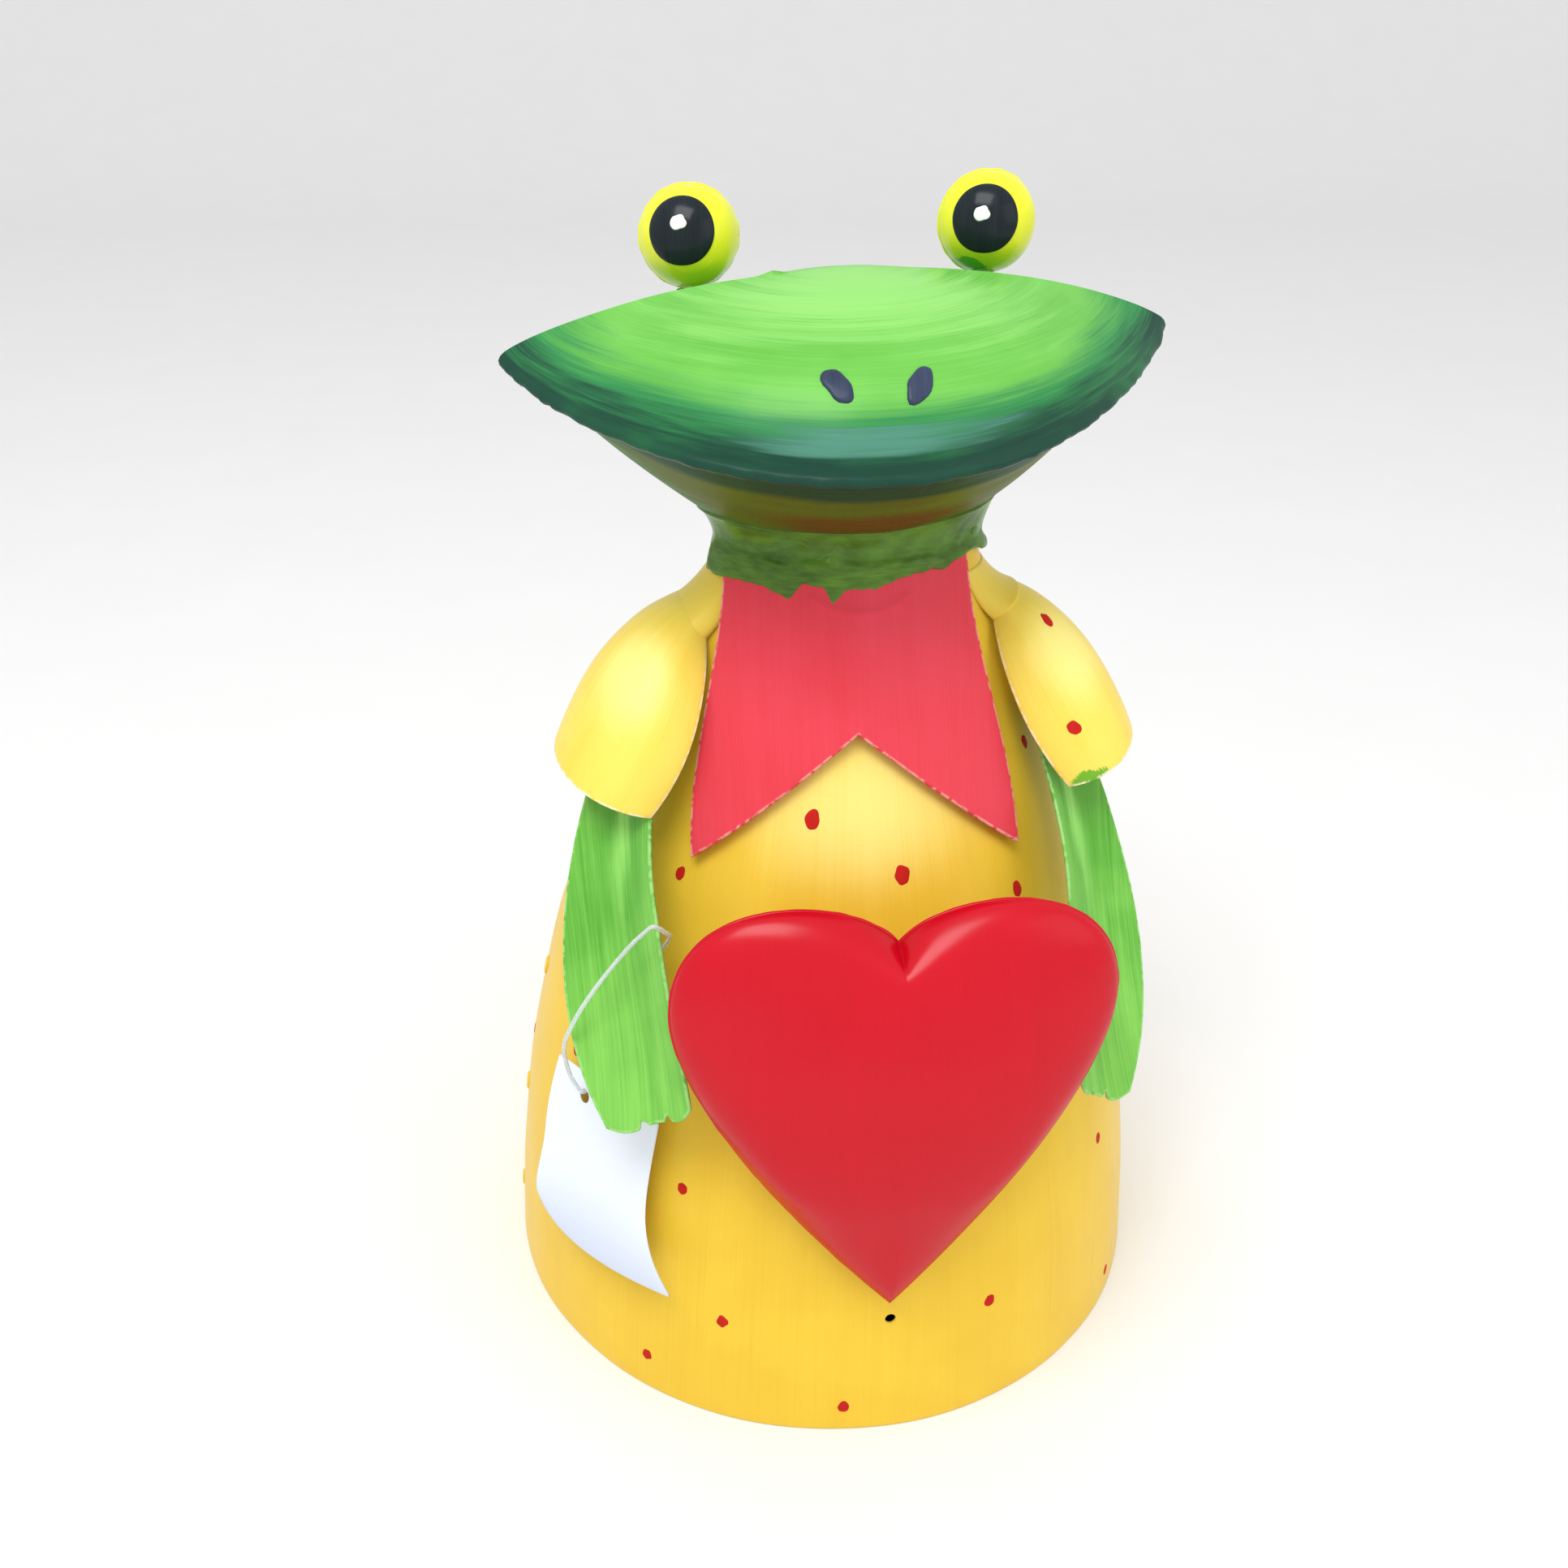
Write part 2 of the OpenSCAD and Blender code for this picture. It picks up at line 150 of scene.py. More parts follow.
TAG_TURN = 51
TAG_LEAN = 12.6
TAG_Z = 65.8
TAG_OFF = 95.3
TAG_T = 0.5
TAG_BOW = 1.6  # how far the card's middle bows out
TAG_CURL = 4.5  # how far its lower left corner curls forward
TAG_CORNERS = [(-17, -14), (37, -17), (-20, 28), (22, 28)]  # low left, low right, top left, top right
TAG_HOLE = (-7, 21.4)
TAG_HOLE_R = 1.9

LOOP_D = 1.2
LOOP_ROUTE = [
    (-56, -57.5, 134), (-61.5, -53.5, 124), (-67, -50, 112), (-71.5, -48, 100), (-73.3, -50.4, 89),
    (-74.8, -51.5, 88.3), (-76.5, -52.9, 89.5), (-78.6, -57, 98), (-79.4, -62.5, 108), (-79, -68, 118),
    (-75.5, -71, 128), (-70.5, -70.5, 136), (-65.3, -69.5, 142.5), (-60.6, -70.5, 149),
    (-57, -72, 153.6), (-54.8, -73, 155.7), (-51.6, -71, 152), (-50.8, -65, 147), (-52.5, -61, 141),
]
LOOP_STEPS = 5

FLIP = {"left": -1, "right": 1}
EDGE_ROUND = 0.3  # how far a sheet's rounded edge stands out, as a share of its thickness
NO_EDGE = 9.0  # stands for a point too far from any edge to show bare metal
MAP_STEP = 0.05
DROP_SINK = -0.12  # how far a drop's foot goes under the surface, as a share of its lift
# each ring of a drop of paint: its share of the radius and of the lift
DROP_PROFILE = [
    (1.0, DROP_SINK), (0.98, 0.35), (0.88, 0.75), (0.75, 0.9),
    (0.6, 0.95), (0.45, 0.98), (0.3, 1.0), (0.15, 1.0),
]
DOT_LIFT = 0.16
SLEEVE_DOT_LIFT = 0.18


# ---- arithmetic
def mix(a, b, t):
    return a + (b - a) * t


def smooth(t):
    c = np.clip(t, 0, 1)
    return c * c * (3 - 2 * c)


def peak(value, centre, width):
    """1 at the centre, and next to nothing from two widths away."""
    return np.exp(-((value - centre) / width) ** 2)


def spread(down, across):
    """The values down a grid and those across it, each spread over the whole grid."""
    return np.meshgrid(down, across, indexing="ij")


def even(count):
    return np.linspace(0, 1, count)


def all_round(count):
    return np.linspace(-180, 180, count, endpoint=False)


def layered(first, second=None, third=None):
    """Three values for each point of a grid; those left out are zero."""
    blank = np.zeros_like(first)
    return np.stack([first, blank if second is None else second, blank if third is None else third], -1)


def bezier(points, t):
    p = np.array(points, float)
    t = np.asarray(t, float)[..., None]
    return p[0] * (1 - t) ** 3 + 3 * p[1] * t * (1 - t) ** 2 + 3 * p[2] * t * t * (1 - t) + p[3] * t ** 3


def lumps(points, size, seed=0.0):
    """Smooth noise, about -1 to 1, at each point; size is the size of a lump in mm."""
    flat = np.asarray(points, float).reshape(-1, 3) / size + seed
    return np.array([noise.noise(Vector(p)) for p in flat]).reshape(np.shape(points)[:-1])


def turned(points, turns, about=(0, 0, 0)):
    """Points turned by three angles in degrees, X first and Z last, about a point."""
    spin = np.array(Euler([math.radians(a) for a in turns], "XYZ").to_matrix())
    return (np.asarray(points, float) - about) @ spin.T + about


def to_frame(points):
    return (np.asarray(points, float) + (0, AXIS_Y, 0)) * MM


# ---- surfaces
BELL_LINE = bezier(BELL, even(401))


def body_w(z):
    return np.interp(z, BELL_LINE[:, 1], BELL_LINE[:, 0])


def body_shift(z):
    return NECK_SHIFT * smooth((z - SHIFT_Z) / (NECK_Z - SHIFT_Z))


def body_k(z):
    return 1 - (1 - NECK_DEPTH) * smooth((z - ROUND_Z) / (NECK_Z - ROUND_Z))


def body_point(turn, z, out=0.0):
    a = np.radians(turn)
    w = body_w(z)
    x = body_shift(z) + (w + out) * np.sin(a)
    return np.stack([x, -(w * body_k(z) + out) * np.cos(a), z + 0 * a], -1)


def body_skin(turn, z, lift=0.0):
    """The body's hand-beaten surface: the bell with slow dents, true at the neck."""
    dents = 0.55 * lumps(body_point(turn, z), 34, 3.1) * smooth((222 - z) / 30)
    return body_point(turn, np.maximum(z, FOOT_LIFT), dents + lift)


def body_front_y(x, z, out):
    w = body_w(z) + out
    d = body_w(z) * body_k(z) + out
    return -d * np.sqrt(np.maximum(0.02, 1 - ((x - body_shift(z)) / w) ** 2))


def rim_point(turn, inset=0.0, drop=0.0):
    a = np.radians(turn)
    c = np.abs(np.cos(a))
    depth = np.where(np.cos(a) > 0, MOUTH_FRONT, MOUTH_BACK) - inset
    y = HEAD_Y - np.sign(np.cos(a)) * depth * (c * c + CORNER_BLUNT * c * np.abs(np.sin(a)))
    return np.stack([(MOUTH_R - inset) * np.sin(a), y, mix(CORNER_Z, LIP_Z, c ** 1.5) - drop], -1)


def crown_point(turn, s):
    """The head's upper surface, from the crown at s = 0 to the rim at s = 1, leaning."""
    rim = rim_point(turn)
    s = np.asarray(s, float)
    x = rim[..., 0] * s
    y = HEAD_Y + (rim[..., 1] - HEAD_Y) * s
    power = mix(DOME_POWER, CORNER_POWER, np.abs(np.sin(np.radians(turn))) ** 4)
    z = mix(rim[..., 2], CROWN_Z, np.maximum(1 - s * s, 0) ** power)
    return leaned(np.stack([x, y, z], -1))


def head_skin(turn, s):
    """The crown, a little higher towards the crimped lip, but not at the mouth's corners."""
    lift = LIP_LIFT * smooth((np.asarray(s) - 0.5) / 0.45) * np.cos(np.radians(turn)) ** 2
    return crown_point(turn, s) + np.multiply.outer(lift, (0, 0, 1))


def leaned(points):
    return turned(points, (0, -HEAD_LEAN, HEAD_TURN), (0, 0, NECK_Z))


def throat_point(turn, s):
    low = body_point(turn, NECK_Z + 0 * turn) + (0, 0, THROAT_FOOT)
    high = rim_point(turn, THROAT_INSET, THROAT_DROP)
    mid = mix(low, high, np.array([THROAT_OUT, THROAT_OUT, THROAT_UP]))
    s = np.asarray(s, float)[..., None]
    return low * (1 - s) ** 2 + mid * 2 * s * (1 - s) + high * s * s


def sleeve_point(s, turn):
    front, crown, back = bezier(SLEEVE_FRONT, s), bezier(SLEEVE_CROWN, s), bezier(SLEEVE_BACK, s)
    middle = (front + back) / 2
    a = np.radians(turn)[..., None]
    return middle + (front - middle) * np.cos(a) + (crown - middle) * np.sin(a)


def heart_point(outline, s, depth):
    """The outline drawn in to the middle, rounder the further in, so that no crease is left."""
    s = np.asarray(s, float)
    arm = outline - np.array(HEART_CENTRE, float)
    reach = np.linalg.norm(arm, axis=-1, keepdims=True)
    round_arm = arm / reach * HEART_ROUND_R
    arm = mix(arm, round_arm, (HEART_SOFT * smooth((1 - s) / 0.36))[..., None])
    flat = HEART_CENTRE + arm * s[..., None]
    bulge = depth * np.maximum(1 - s * s, 0) ** HEART_POWER
    return np.stack([flat[..., 0], -bulge - HALF_GAP, flat[..., 1]], -1)


def in_heart_plane(points):
    return turned(points, (-HEART_TILT, 0, 0)) + HEART_AT


def in_tag_plane(points):
    lifted = turned(points, (90 - TAG_LEAN, 0, 0)) + (0, -TAG_OFF, TAG_Z)
    return turned(lifted, (0, 0, -TAG_TURN))


def mirrored(points, side):
    return points * (FLIP[side], 1, 1)


def on_shoulder(points, side):
    return mirrored(points, side) + SLEEVE_MOVE[side]


# ---- meshes
def grid_faces(rows, cols, first, closed):
    faces = []
    for i in range(rows - 1):
        for j in range(cols if closed else cols - 1):
            a = first + i * cols + j
            b = first + i * cols + (j + 1) % cols
            faces.append((a, b, b + cols, a + cols))
    return faces


def borders(rows, cols, closed, domed):
    """Loops of (row, column) round the open edges of a grid."""
    if closed:
        return [[(i, j) for j in range(cols)] for i in ((0,) if domed else (0, rows - 1))]
    loop = [(0, j) for j in range(cols)]
    loop += [(i, cols - 1) for i in range(1, rows)]
    loop += [(rows - 1, j) for j in range(cols - 2, -1, -1)]
    loop += [(i, 0) for i in range(rows - 2, 0, -1)]
    return [loop]


def grid_normals(grid, closed):
    if closed:
        right = np.roll(grid, -1, 1) - np.roll(grid, 1, 1)
    else:
        right = np.gradient(grid, axis=1)
    n = np.cross(right, np.gradient(grid, axis=0))
    return n / np.maximum(np.linalg.norm(n, axis=-1, keepdims=True), 1e-9)


def from_ends(grid, axis, both):
    """Distance in mm along one axis of a grid to its nearest end, or to its first end."""
    step = np.linalg.norm(np.diff(grid, axis=axis), axis=-1)
    run = np.cumsum(step, axis=axis)
    run = np.insert(run, 0, 0, axis=axis)
    if not both:
        return run
    total = np.take(run, [-1], axis=axis)
    return np.minimum(run, total - run)


def edge_distance(grid, closed, domed):
    d = from_ends(grid, 0, not domed)
    return d if closed else np.minimum(d, from_ends(grid, 1, True))


def beaten(grid, closed, depth, size, seed, share):
    """The grid with hand-beaten dents along its normals; share fades them out."""
    dents = depth * lumps(grid, size, seed) * share
    return grid + grid_normals(grid, closed) * dents[..., None]


def new_object(name, data):
    made = bpy.data.objects.new(name, data)
    bpy.context.scene.collection.objects.link(made)
    return made


def new_piece(name, points, faces, material, attributes):
    """A smooth-shaded mesh object with its faces turned outward."""
    mesh = bpy.data.meshes.new(name)
    mesh.from_pydata([tuple(p) for p in to_frame(points)], [], [tuple(f) for f in faces])
    work = bmesh.new()
    work.from_mesh(mesh)
    bmesh.ops.recalc_face_normals(work, faces=work.faces)
    work.to_mesh(mesh)
    work.free()
    for key, values in attributes.items():
        values = np.asarray(values, np.float32)
        kind, field = ("FLOAT_VECTOR", "vector") if values.ndim == 2 else ("FLOAT", "value")
        layer = mesh.attributes.new(key, kind, "POINT")
        layer.data.foreach_set(field, values.ravel())
    mesh.materials.append(material)
    mesh.shade_smooth()
    return new_object(name, mesh)


def plain_attributes(flow):
    """What the paint reads on a piece that has no mask and no bare edge."""
    return {"flow": flow, "mask": np.zeros_like(flow), "edge": np.full(len(flow), NO_EDGE)}


def sheet_piece(name, grid, material, flow, mask=None, thick=SHEET_T, closed=False, pole=None):
    """A metal sheet under a grid of points: its two faces and a rounded edge between them.
    flow gives each point's place across and along the brush strokes, in mm."""
    rows, cols = grid.shape[:2]
    size = rows * cols
    normals = grid_normals(grid, closed)
    inner = grid - thick * normals
    edge = edge_distance(grid, closed, pole is not None)
    mask = np.zeros((rows, cols, 3)) if mask is None else mask
    extra = np.concatenate([flow, mask], -1)
    points = [grid.reshape(-1, 3), inner.reshape(-1, 3)]
    extras = [extra.reshape(-1, 6)] * 2
    edges = [edge.ravel(), edge.ravel()]
    faces = grid_faces(rows, cols, 0, closed) + grid_faces(rows, cols, size, closed)
    count = 2 * size
    for loop in borders(rows, cols, closed, pole is not None):
        i, j = np.array(loop).T
        away = grid[i, j] - grid[np.clip(i, 1, rows - 2), j if closed else np.clip(j, 1, cols - 2)]
        away /= np.maximum(np.linalg.norm(away, axis=1, keepdims=True), 1e-9)
        points.append((grid[i, j] + inner[i, j]) / 2 + away * thick * EDGE_ROUND)
        extras.append(extra[i, j])
        edges.append(np.zeros(len(loop)))
        at = (i * cols + j).tolist()
        for k, a in enumerate(at):
            after = (k + 1) % len(at)
            faces.append((a, at[after], count + after, count + k))
            faces.append((count + k, count + after, at[after] + size, a + size))
        count += len(loop)
    if pole is not None:
        normal = normals[-1].mean(0)
        points.append(np.array([pole, pole - thick * normal / np.linalg.norm(normal)]))
        extras.append(np.array([extra[-1].mean(0)] * 2))
        edges.append(np.full(2, edge.max()))
        for j in range(cols):
            a, b = (rows - 1) * cols + j, (rows - 1) * cols + (j + 1) % cols
            faces.append((a, b, count))
            faces.append((a + size, b + size, count + 1))
    extras = np.concatenate(extras)
    piece = new_piece(name, np.concatenate(points), faces, material,
                      {"flow": extras[:, :3], "mask": extras[:, 3:], "edge": np.concatenate(edges)})
    crisp = piece.modifiers.new("crisp_edges", "WEIGHTED_NORMAL")
    crisp.keep_sharp = True
    return piece


def tube_points(path, radius, sides, facing):
    path = np.asarray(path, float)
    along = np.gradient(path, axis=0)
    along /= np.linalg.norm(along, axis=1, keepdims=True)
    side = np.cross(along, facing)
    side /= np.linalg.norm(side, axis=1, keepdims=True)
    up = np.cross(side, along)
    a = np.linspace(0, 2 * math.pi, sides, endpoint=False)[None, :, None]
    radius = np.broadcast_to(radius, len(path))[:, None, None]
    return path[:, None] + radius * (side[:, None] * np.cos(a) + up[:, None] * np.sin(a))


def tube_piece(name, path, radius, material, sides=12, facing=(0, 0, 1)):
    """A round bar along a path, with capped ends."""
    rings = tube_points(path, radius, sides, facing)
    n = len(rings)
    faces = grid_faces(n, sides, 0, True)
    faces += [tuple(range(sides)), tuple(range((n - 1) * sides, n * sides))]
    run = np.insert(np.cumsum(np.linalg.norm(np.diff(path, axis=0), axis=1)), 0, 0)
    flow = np.stack([np.tile(np.arange(sides) * 0.4, n), np.repeat(run, sides), np.zeros(n * sides)], -1)
    return new_piece(name, rings.reshape(-1, 3), faces, material, plain_attributes(flow))


def blob_mesh(surface, centre, radii, lift, seed, spokes=22, rough=0.12):
    """Points and faces of a closed drop of paint or weld lying on surface(across, up)."""
    angles = np.linspace(0, 2 * math.pi, spokes, endpoint=False)
    ragged = [noise.noise(Vector((math.cos(a) * 1.3, math.sin(a) * 1.3, seed))) for a in angles]
    swell = 1 + rough * np.array(ragged) * 2
    samples = [(0.0, 0.0, 1.0), (0.0, 0.0, DROP_SINK)]
    for share, height in DROP_PROFILE:
        samples += [(radii[0] * share * k * math.cos(a), radii[1] * share * k * math.sin(a), height)
                    for a, k in zip(angles, swell)]
    points = []
    for a, b, height in samples:
        at = surface(centre[0] + a, centre[1] + b)
        right = surface(centre[0] + a + MAP_STEP, centre[1] + b) - at
        up = surface(centre[0] + a, centre[1] + b + MAP_STEP) - at
        n = np.cross(right, up)
        n /= np.linalg.norm(n)
        points.append(at + n * lift * height)
    faces = []
    last = 2 + (len(DROP_PROFILE) - 1) * spokes
    for k in range(spokes):
        after = (k + 1) % spokes
        faces.append((1, 2 + k, 2 + after))
        faces.append((0, last + k, last + after))
    faces += [tuple(i + 2 for i in f) for f in grid_faces(len(DROP_PROFILE), spokes, 0, True)]
    return points, faces


def blobs_piece(name, blobs, material, **outline):
    """Several drops joined in one piece. Each is surface, centre, radii, lift, seed."""
    points, faces = [], []
    for blob in blobs:
        p, f = blob_mesh(*blob, **outline)
        faces += [tuple(i + len(points) for i in face) for face in f]
        points += p
    points = np.array(points)
    return new_piece(name, points, faces, material, plain_attributes(points[:, [0, 2, 1]]))


# ---- materials
def feed(tree, made, inputs):
    """Links each input of a node to a socket, or gives it a value."""
    for key, value in inputs.items():
        if isinstance(value, bpy.types.NodeSocket):
            tree.links.new(value, made.inputs[key])
        else:
            made.inputs[key].default_value = value


def node(tree, kind, inputs=None, **settings):
    made = tree.nodes.new("ShaderNode" + kind)
    for key, value in settings.items():
        setattr(made, key, value)
    feed(tree, made, inputs or {})
    return made


def new_material(name):
    material = bpy.data.materials.new(name)
    material.use_nodes = True
    return material, material.node_tree, material.node_tree.nodes["Principled BSDF"]


def maths(tree, operation, a, b):
    return node(tree, "Math", {0: a, 1: b}, operation=operation).outputs[0]


def plus(tree, base, value, share):
    """base + value * share"""
    return maths(tree, "ADD", base, maths(tree, "MULTIPLY", value, share))


def ranged(tree, value, low, high, to_low=0.0, to_high=1.0):
    limits = {"Value": value, "From Min": low, "From Max": high, "To Min": to_low, "To Max": to_high}
    return node(tree, "MapRange", limits, interpolation_type="SMOOTHSTEP").outputs["Result"]


def colour_mix(tree, factor, a, b):
    first, second = (c if isinstance(c, bpy.types.NodeSocket) else (*c, 1) for c in (a, b))
    return node(tree, "Mix", {0: factor, 6: first, 7: second}, data_type="RGBA").outputs[2]


def attribute(tree, name, output):
    return node(tree, "Attribute", attribute_name=name).outputs[output]


def stretched_noise(tree, vector, scales, offset=0.0, detail=3.0):
    scaled = node(tree, "VectorMath", {0: vector, 1: scales}, operation="MULTIPLY").outputs[0]
    moved = node(tree, "VectorMath", {0: scaled, 1: (offset,) * 3}, operation="ADD").outputs[0]
    return node(tree, "TexNoise", {"Vector": moved, "Scale": 1.0, "Detail": detail,
                                   "Roughness": 0.55}).outputs["Fac"]


def own_noise(tree, scales, offset=0.0, detail=3.0):
    """Noise in the piece's own space; scales are lumps to the metre along X, Y and Z."""
    return stretched_noise(tree, node(tree, "TexCoord").outputs["Object"], scales, offset, detail)


def relief(tree, height, strength, depth):
    """A surface normal for bumps that stand depth mm high."""
    return node(tree, "Bump", {"Height": height, "Strength": strength, "Distance": depth * MM}).outputs[0]


SPECULAR = 0.1
BLOTCHES = (38, 38, 38)
CHIPS = (420, 420, 420)
FINE_SHARE = 0.45  # a bristle's line against the whole stroke's
TONE_SOFT = 0.05
BLOTCH_TONE = 0.18


def paint(name, light, dark, contrast=0.5, bristle=0.45, stroke=5.0, length=26.0, zones=(), edge=None,
          rough=0.3, coat=0.06, coat_rough=0.15, specular=SPECULAR, bump=0.025, seed=0.0):
    """Gloss paint put on with a brush. bristle and stroke are the widths in mm of a bristle's line
    and of a whole stroke, and length is a stroke's length. zones are (channel, colour, low, high,
    ragged): where that channel of the piece's mask goes from low to high, the colour comes in."""
    material, tree, shader = new_material(name)
    flow = attribute(tree, "flow", "Vector")
    fine = stretched_noise(tree, flow, (1 / bristle, 1 / length, 0.2), seed)
    broad = stretched_noise(tree, flow, (1 / stroke, 0.6 / length, 0.1), seed + 7, 2.0)
    strokes = plus(tree, maths(tree, "MULTIPLY", fine, FINE_SHARE), broad, 1 - FINE_SHARE)
    half = 0.5 * (1 - contrast)
    tone = ranged(tree, strokes, 0.5 - half - TONE_SOFT, 0.5 + half + TONE_SOFT)
    blotch = own_noise(tree, BLOTCHES, seed + 3)
    tone = maths(tree, "ADD", tone, ranged(tree, blotch, 0.3, 0.7, -BLOTCH_TONE, BLOTCH_TONE))
    colour = colour_mix(tree, tone, dark, light)
    channels = node(tree, "SeparateXYZ", {0: attribute(tree, "mask", "Vector")}).outputs
    ragged_base = maths(tree, "SUBTRACT", strokes, 0.5)
    for channel, zone, low, high, ragged in zones:
        level = plus(tree, channels[channel], ragged_base, ragged)
        colour = colour_mix(tree, ranged(tree, level, low, high), colour, zone)
    if edge is not None:
        near = ranged(tree, attribute(tree, "edge", "Fac"), 0.15, 0.8, 1.0, 0.0)
        chips = ranged(tree, own_noise(tree, CHIPS, seed, 2.0), 0.38, 0.56)
        colour = colour_mix(tree, maths(tree, "MULTIPLY", near, chips), colour, edge)
    feed(tree, shader, {
        "Base Color": colour,
        "Roughness": ranged(tree, strokes, 0.25, 0.75, rough - 0.06, rough + 0.12),
        "Normal": relief(tree, plus(tree, strokes, blotch, 0.8), 0.7, bump),
        "Specular IOR Level": specular,
        "Coat Weight": coat,
        "Coat Roughness": coat_rough,
    })
    return material


def card_material():
    """Plain card, with painted shade that makes it darker and bluer towards its lower edge."""
    material, tree, shader = new_material("tag_card")
    fibre = own_noise(tree, (900, 900, 300), detail=5.0)
    height = node(tree, "SeparateXYZ", {0: attribute(tree, "flow", "Vector")}).outputs["Y"]
    tone = plus(tree, ranged(tree, height, -24, 4), fibre, 0.12)
    feed(tree, shader, {
        "Base Color": colour_mix(tree, tone, (0.56, 0.62, 0.76), (0.78, 0.83, 0.90)),
        "Roughness": ranged(tree, fibre, 0.3, 0.7, 0.32, 0.5),
        "Normal": relief(tree, fibre, 0.4, 0.02),
    })
    return material


def nylon_material():
    material, tree, shader = new_material("clear_nylon")
    haze = own_noise(tree, (700, 700, 700), detail=2.0)
    feed(tree, shader, {
        "Base Color": colour_mix(tree, haze, (0.80, 0.88, 0.92), (0.95, 0.98, 1.0)),
        "Roughness": ranged(tree, haze, 0.3, 0.7, 0.12, 0.28),
        "Transmission Weight": 0.55,
        "IOR": 1.5,
    })
    return material


def floor_material():
    material, tree, shader = new_material("pale_floor")
    grain = own_noise(tree, (14, 14, 14), detail=4.0)
    feed(tree, shader, {
        "Base Color": colour_mix(tree, grain, (0.84, 0.84, 0.84), (0.87, 0.87, 0.87)),
        "Roughness": 0.7,
    })
    return material


# the body's zone is a painted highlight: paler yellow high on the front
BODY_PAINT = paint("body_yellow", (0.84, 0.58, 0.050), (0.76, 0.48, 0.034), contrast=0.12, bristle=0.6,
                   stroke=11, length=70, edge=(0.74, 0.50, 0.06), seed=1,
                   zones=[("X", (0.93, 0.78, 0.22), 0.35, 1.1, 0.35)])
SLEEVE_PAINT = paint("sleeve_yellow", (0.90, 0.72, 0.13), (0.84, 0.60, 0.075), contrast=0.12, bristle=0.6,
                     stroke=7, length=40, edge=(0.92, 0.84, 0.50), seed=2,
                     zones=[("X", (0.93, 0.80, 0.24), 0.3, 1.0, 0.4),
                            ("Y", (0.16, 0.42, 0.03), 0.45, 0.62, 1.6)])
SHOULDER_PAINT = paint("shoulder_yellow", (0.88, 0.68, 0.11), (0.82, 0.58, 0.07), contrast=0.12,
                       bristle=0.6, stroke=7, length=40, seed=2)
HEAD_PAINT = paint("head_green", (0.18, 0.53, 0.095), (0.11, 0.41, 0.05), contrast=0.45, bristle=0.4,
                   stroke=3.2, length=40, seed=3, rough=0.34, coat=0.1, coat_rough=0.2, bump=0.03,
                   # zone Y is a painted highlight: lighter green on the front of the dome
                   zones=[("Y", (0.25, 0.60, 0.14), 0.35, 1.0, 1.3),
                          ("X", (0.030, 0.23, 0.065), -0.05, 0.62, 1.3),
                          ("X", (0.010, 0.055, 0.035), 0.52, 0.95, 1.2),
                          # zone Z is a painted highlight: greyish at the middle of the front lip
                          ("Z", (0.075, 0.24, 0.17), 0.5, 1.3, 3.0)])
# zone Z is painted shade: the throat darkest just under the head's rim
THROAT_PAINT = paint("throat_green", (0.115, 0.165, 0.016), (0.075, 0.095, 0.011), contrast=0.3,
                     bristle=0.5, stroke=4, length=30, seed=4, rough=0.4, coat=0.0, specular=0.05,
                     zones=[("X", (0.125, 0.058, 0.010), 0.25, 0.85, 0.6),
                            ("Y", (0.06, 0.16, 0.026), 0.3, 0.8, 0.7),
                            ("Z", (0.015, 0.06, 0.025), 0.3, 0.9, 0.7)])
WELD_PAINT = paint("weld_green", (0.12, 0.27, 0.030), (0.05, 0.11, 0.014), contrast=0.5, bristle=0.8,
                   stroke=2.5, length=5, seed=5, rough=0.24, coat=0.2, bump=0.07)
SPRING_PAINT = paint("spring_green", (0.06, 0.18, 0.04), (0.03, 0.10, 0.03), bristle=0.3, stroke=1,
                     length=4, seed=6, rough=0.3, bump=0.03)
# zone X is painted shade: each ball darker and greener towards its underside
EYE_PAINT = paint("eye_yellow", (0.84, 0.84, 0.034), (0.76, 0.78, 0.026), contrast=0.15, bristle=0.5,
                  stroke=3, length=12, seed=7, rough=0.18, coat=0.3,
                  zones=[("X", (0.46, 0.60, 0.02), 0.45, 1.05, 0.7),
                         ("Y", (0.10, 0.36, 0.03), 0.5, 0.62, 1.2)])
PUPIL_PAINT = paint("pupil_black", (0.014, 0.022, 0.028), (0.009, 0.013, 0.017), bristle=0.5, stroke=3,
                    length=12, seed=8, rough=0.2, coat=0.15)
WHITE_PAINT = paint("white_dot", (0.90, 0.90, 0.88), (0.82, 0.84, 0.84), bristle=0.4, stroke=1.5,
                    length=4, seed=9, rough=0.24)
NOSTRIL_PAINT = paint("nostril_slate", (0.045, 0.060, 0.11), (0.028, 0.040, 0.075), bristle=0.4,
                      stroke=2, length=8, seed=10)
DOT_PAINT = paint("dot_red", (0.58, 0.02, 0.015), (0.44, 0.014, 0.011), bristle=0.4, stroke=1.5,
                  length=5, seed=11, rough=0.4, coat=0.0, specular=0.05)
ARM_PAINT = paint("arm_green", (0.24, 0.60, 0.10), (0.085, 0.34, 0.035), contrast=0.5, bristle=0.7,
                  stroke=8, length=45, edge=(0.30, 0.62, 0.18), seed=12,
                  zones=[("X", (0.29, 0.68, 0.14), 0.4, 1.1, 0.8)])
HEART_PAINT = paint("heart_red", (0.56, 0.002, 0.014), (0.50, 0.002, 0.010), contrast=0.15, bristle=0.7,
                    stroke=9, length=60, seed=13, rough=0.34, coat=0.5, coat_rough=0.25, specular=0.0,
                    bump=0.015)
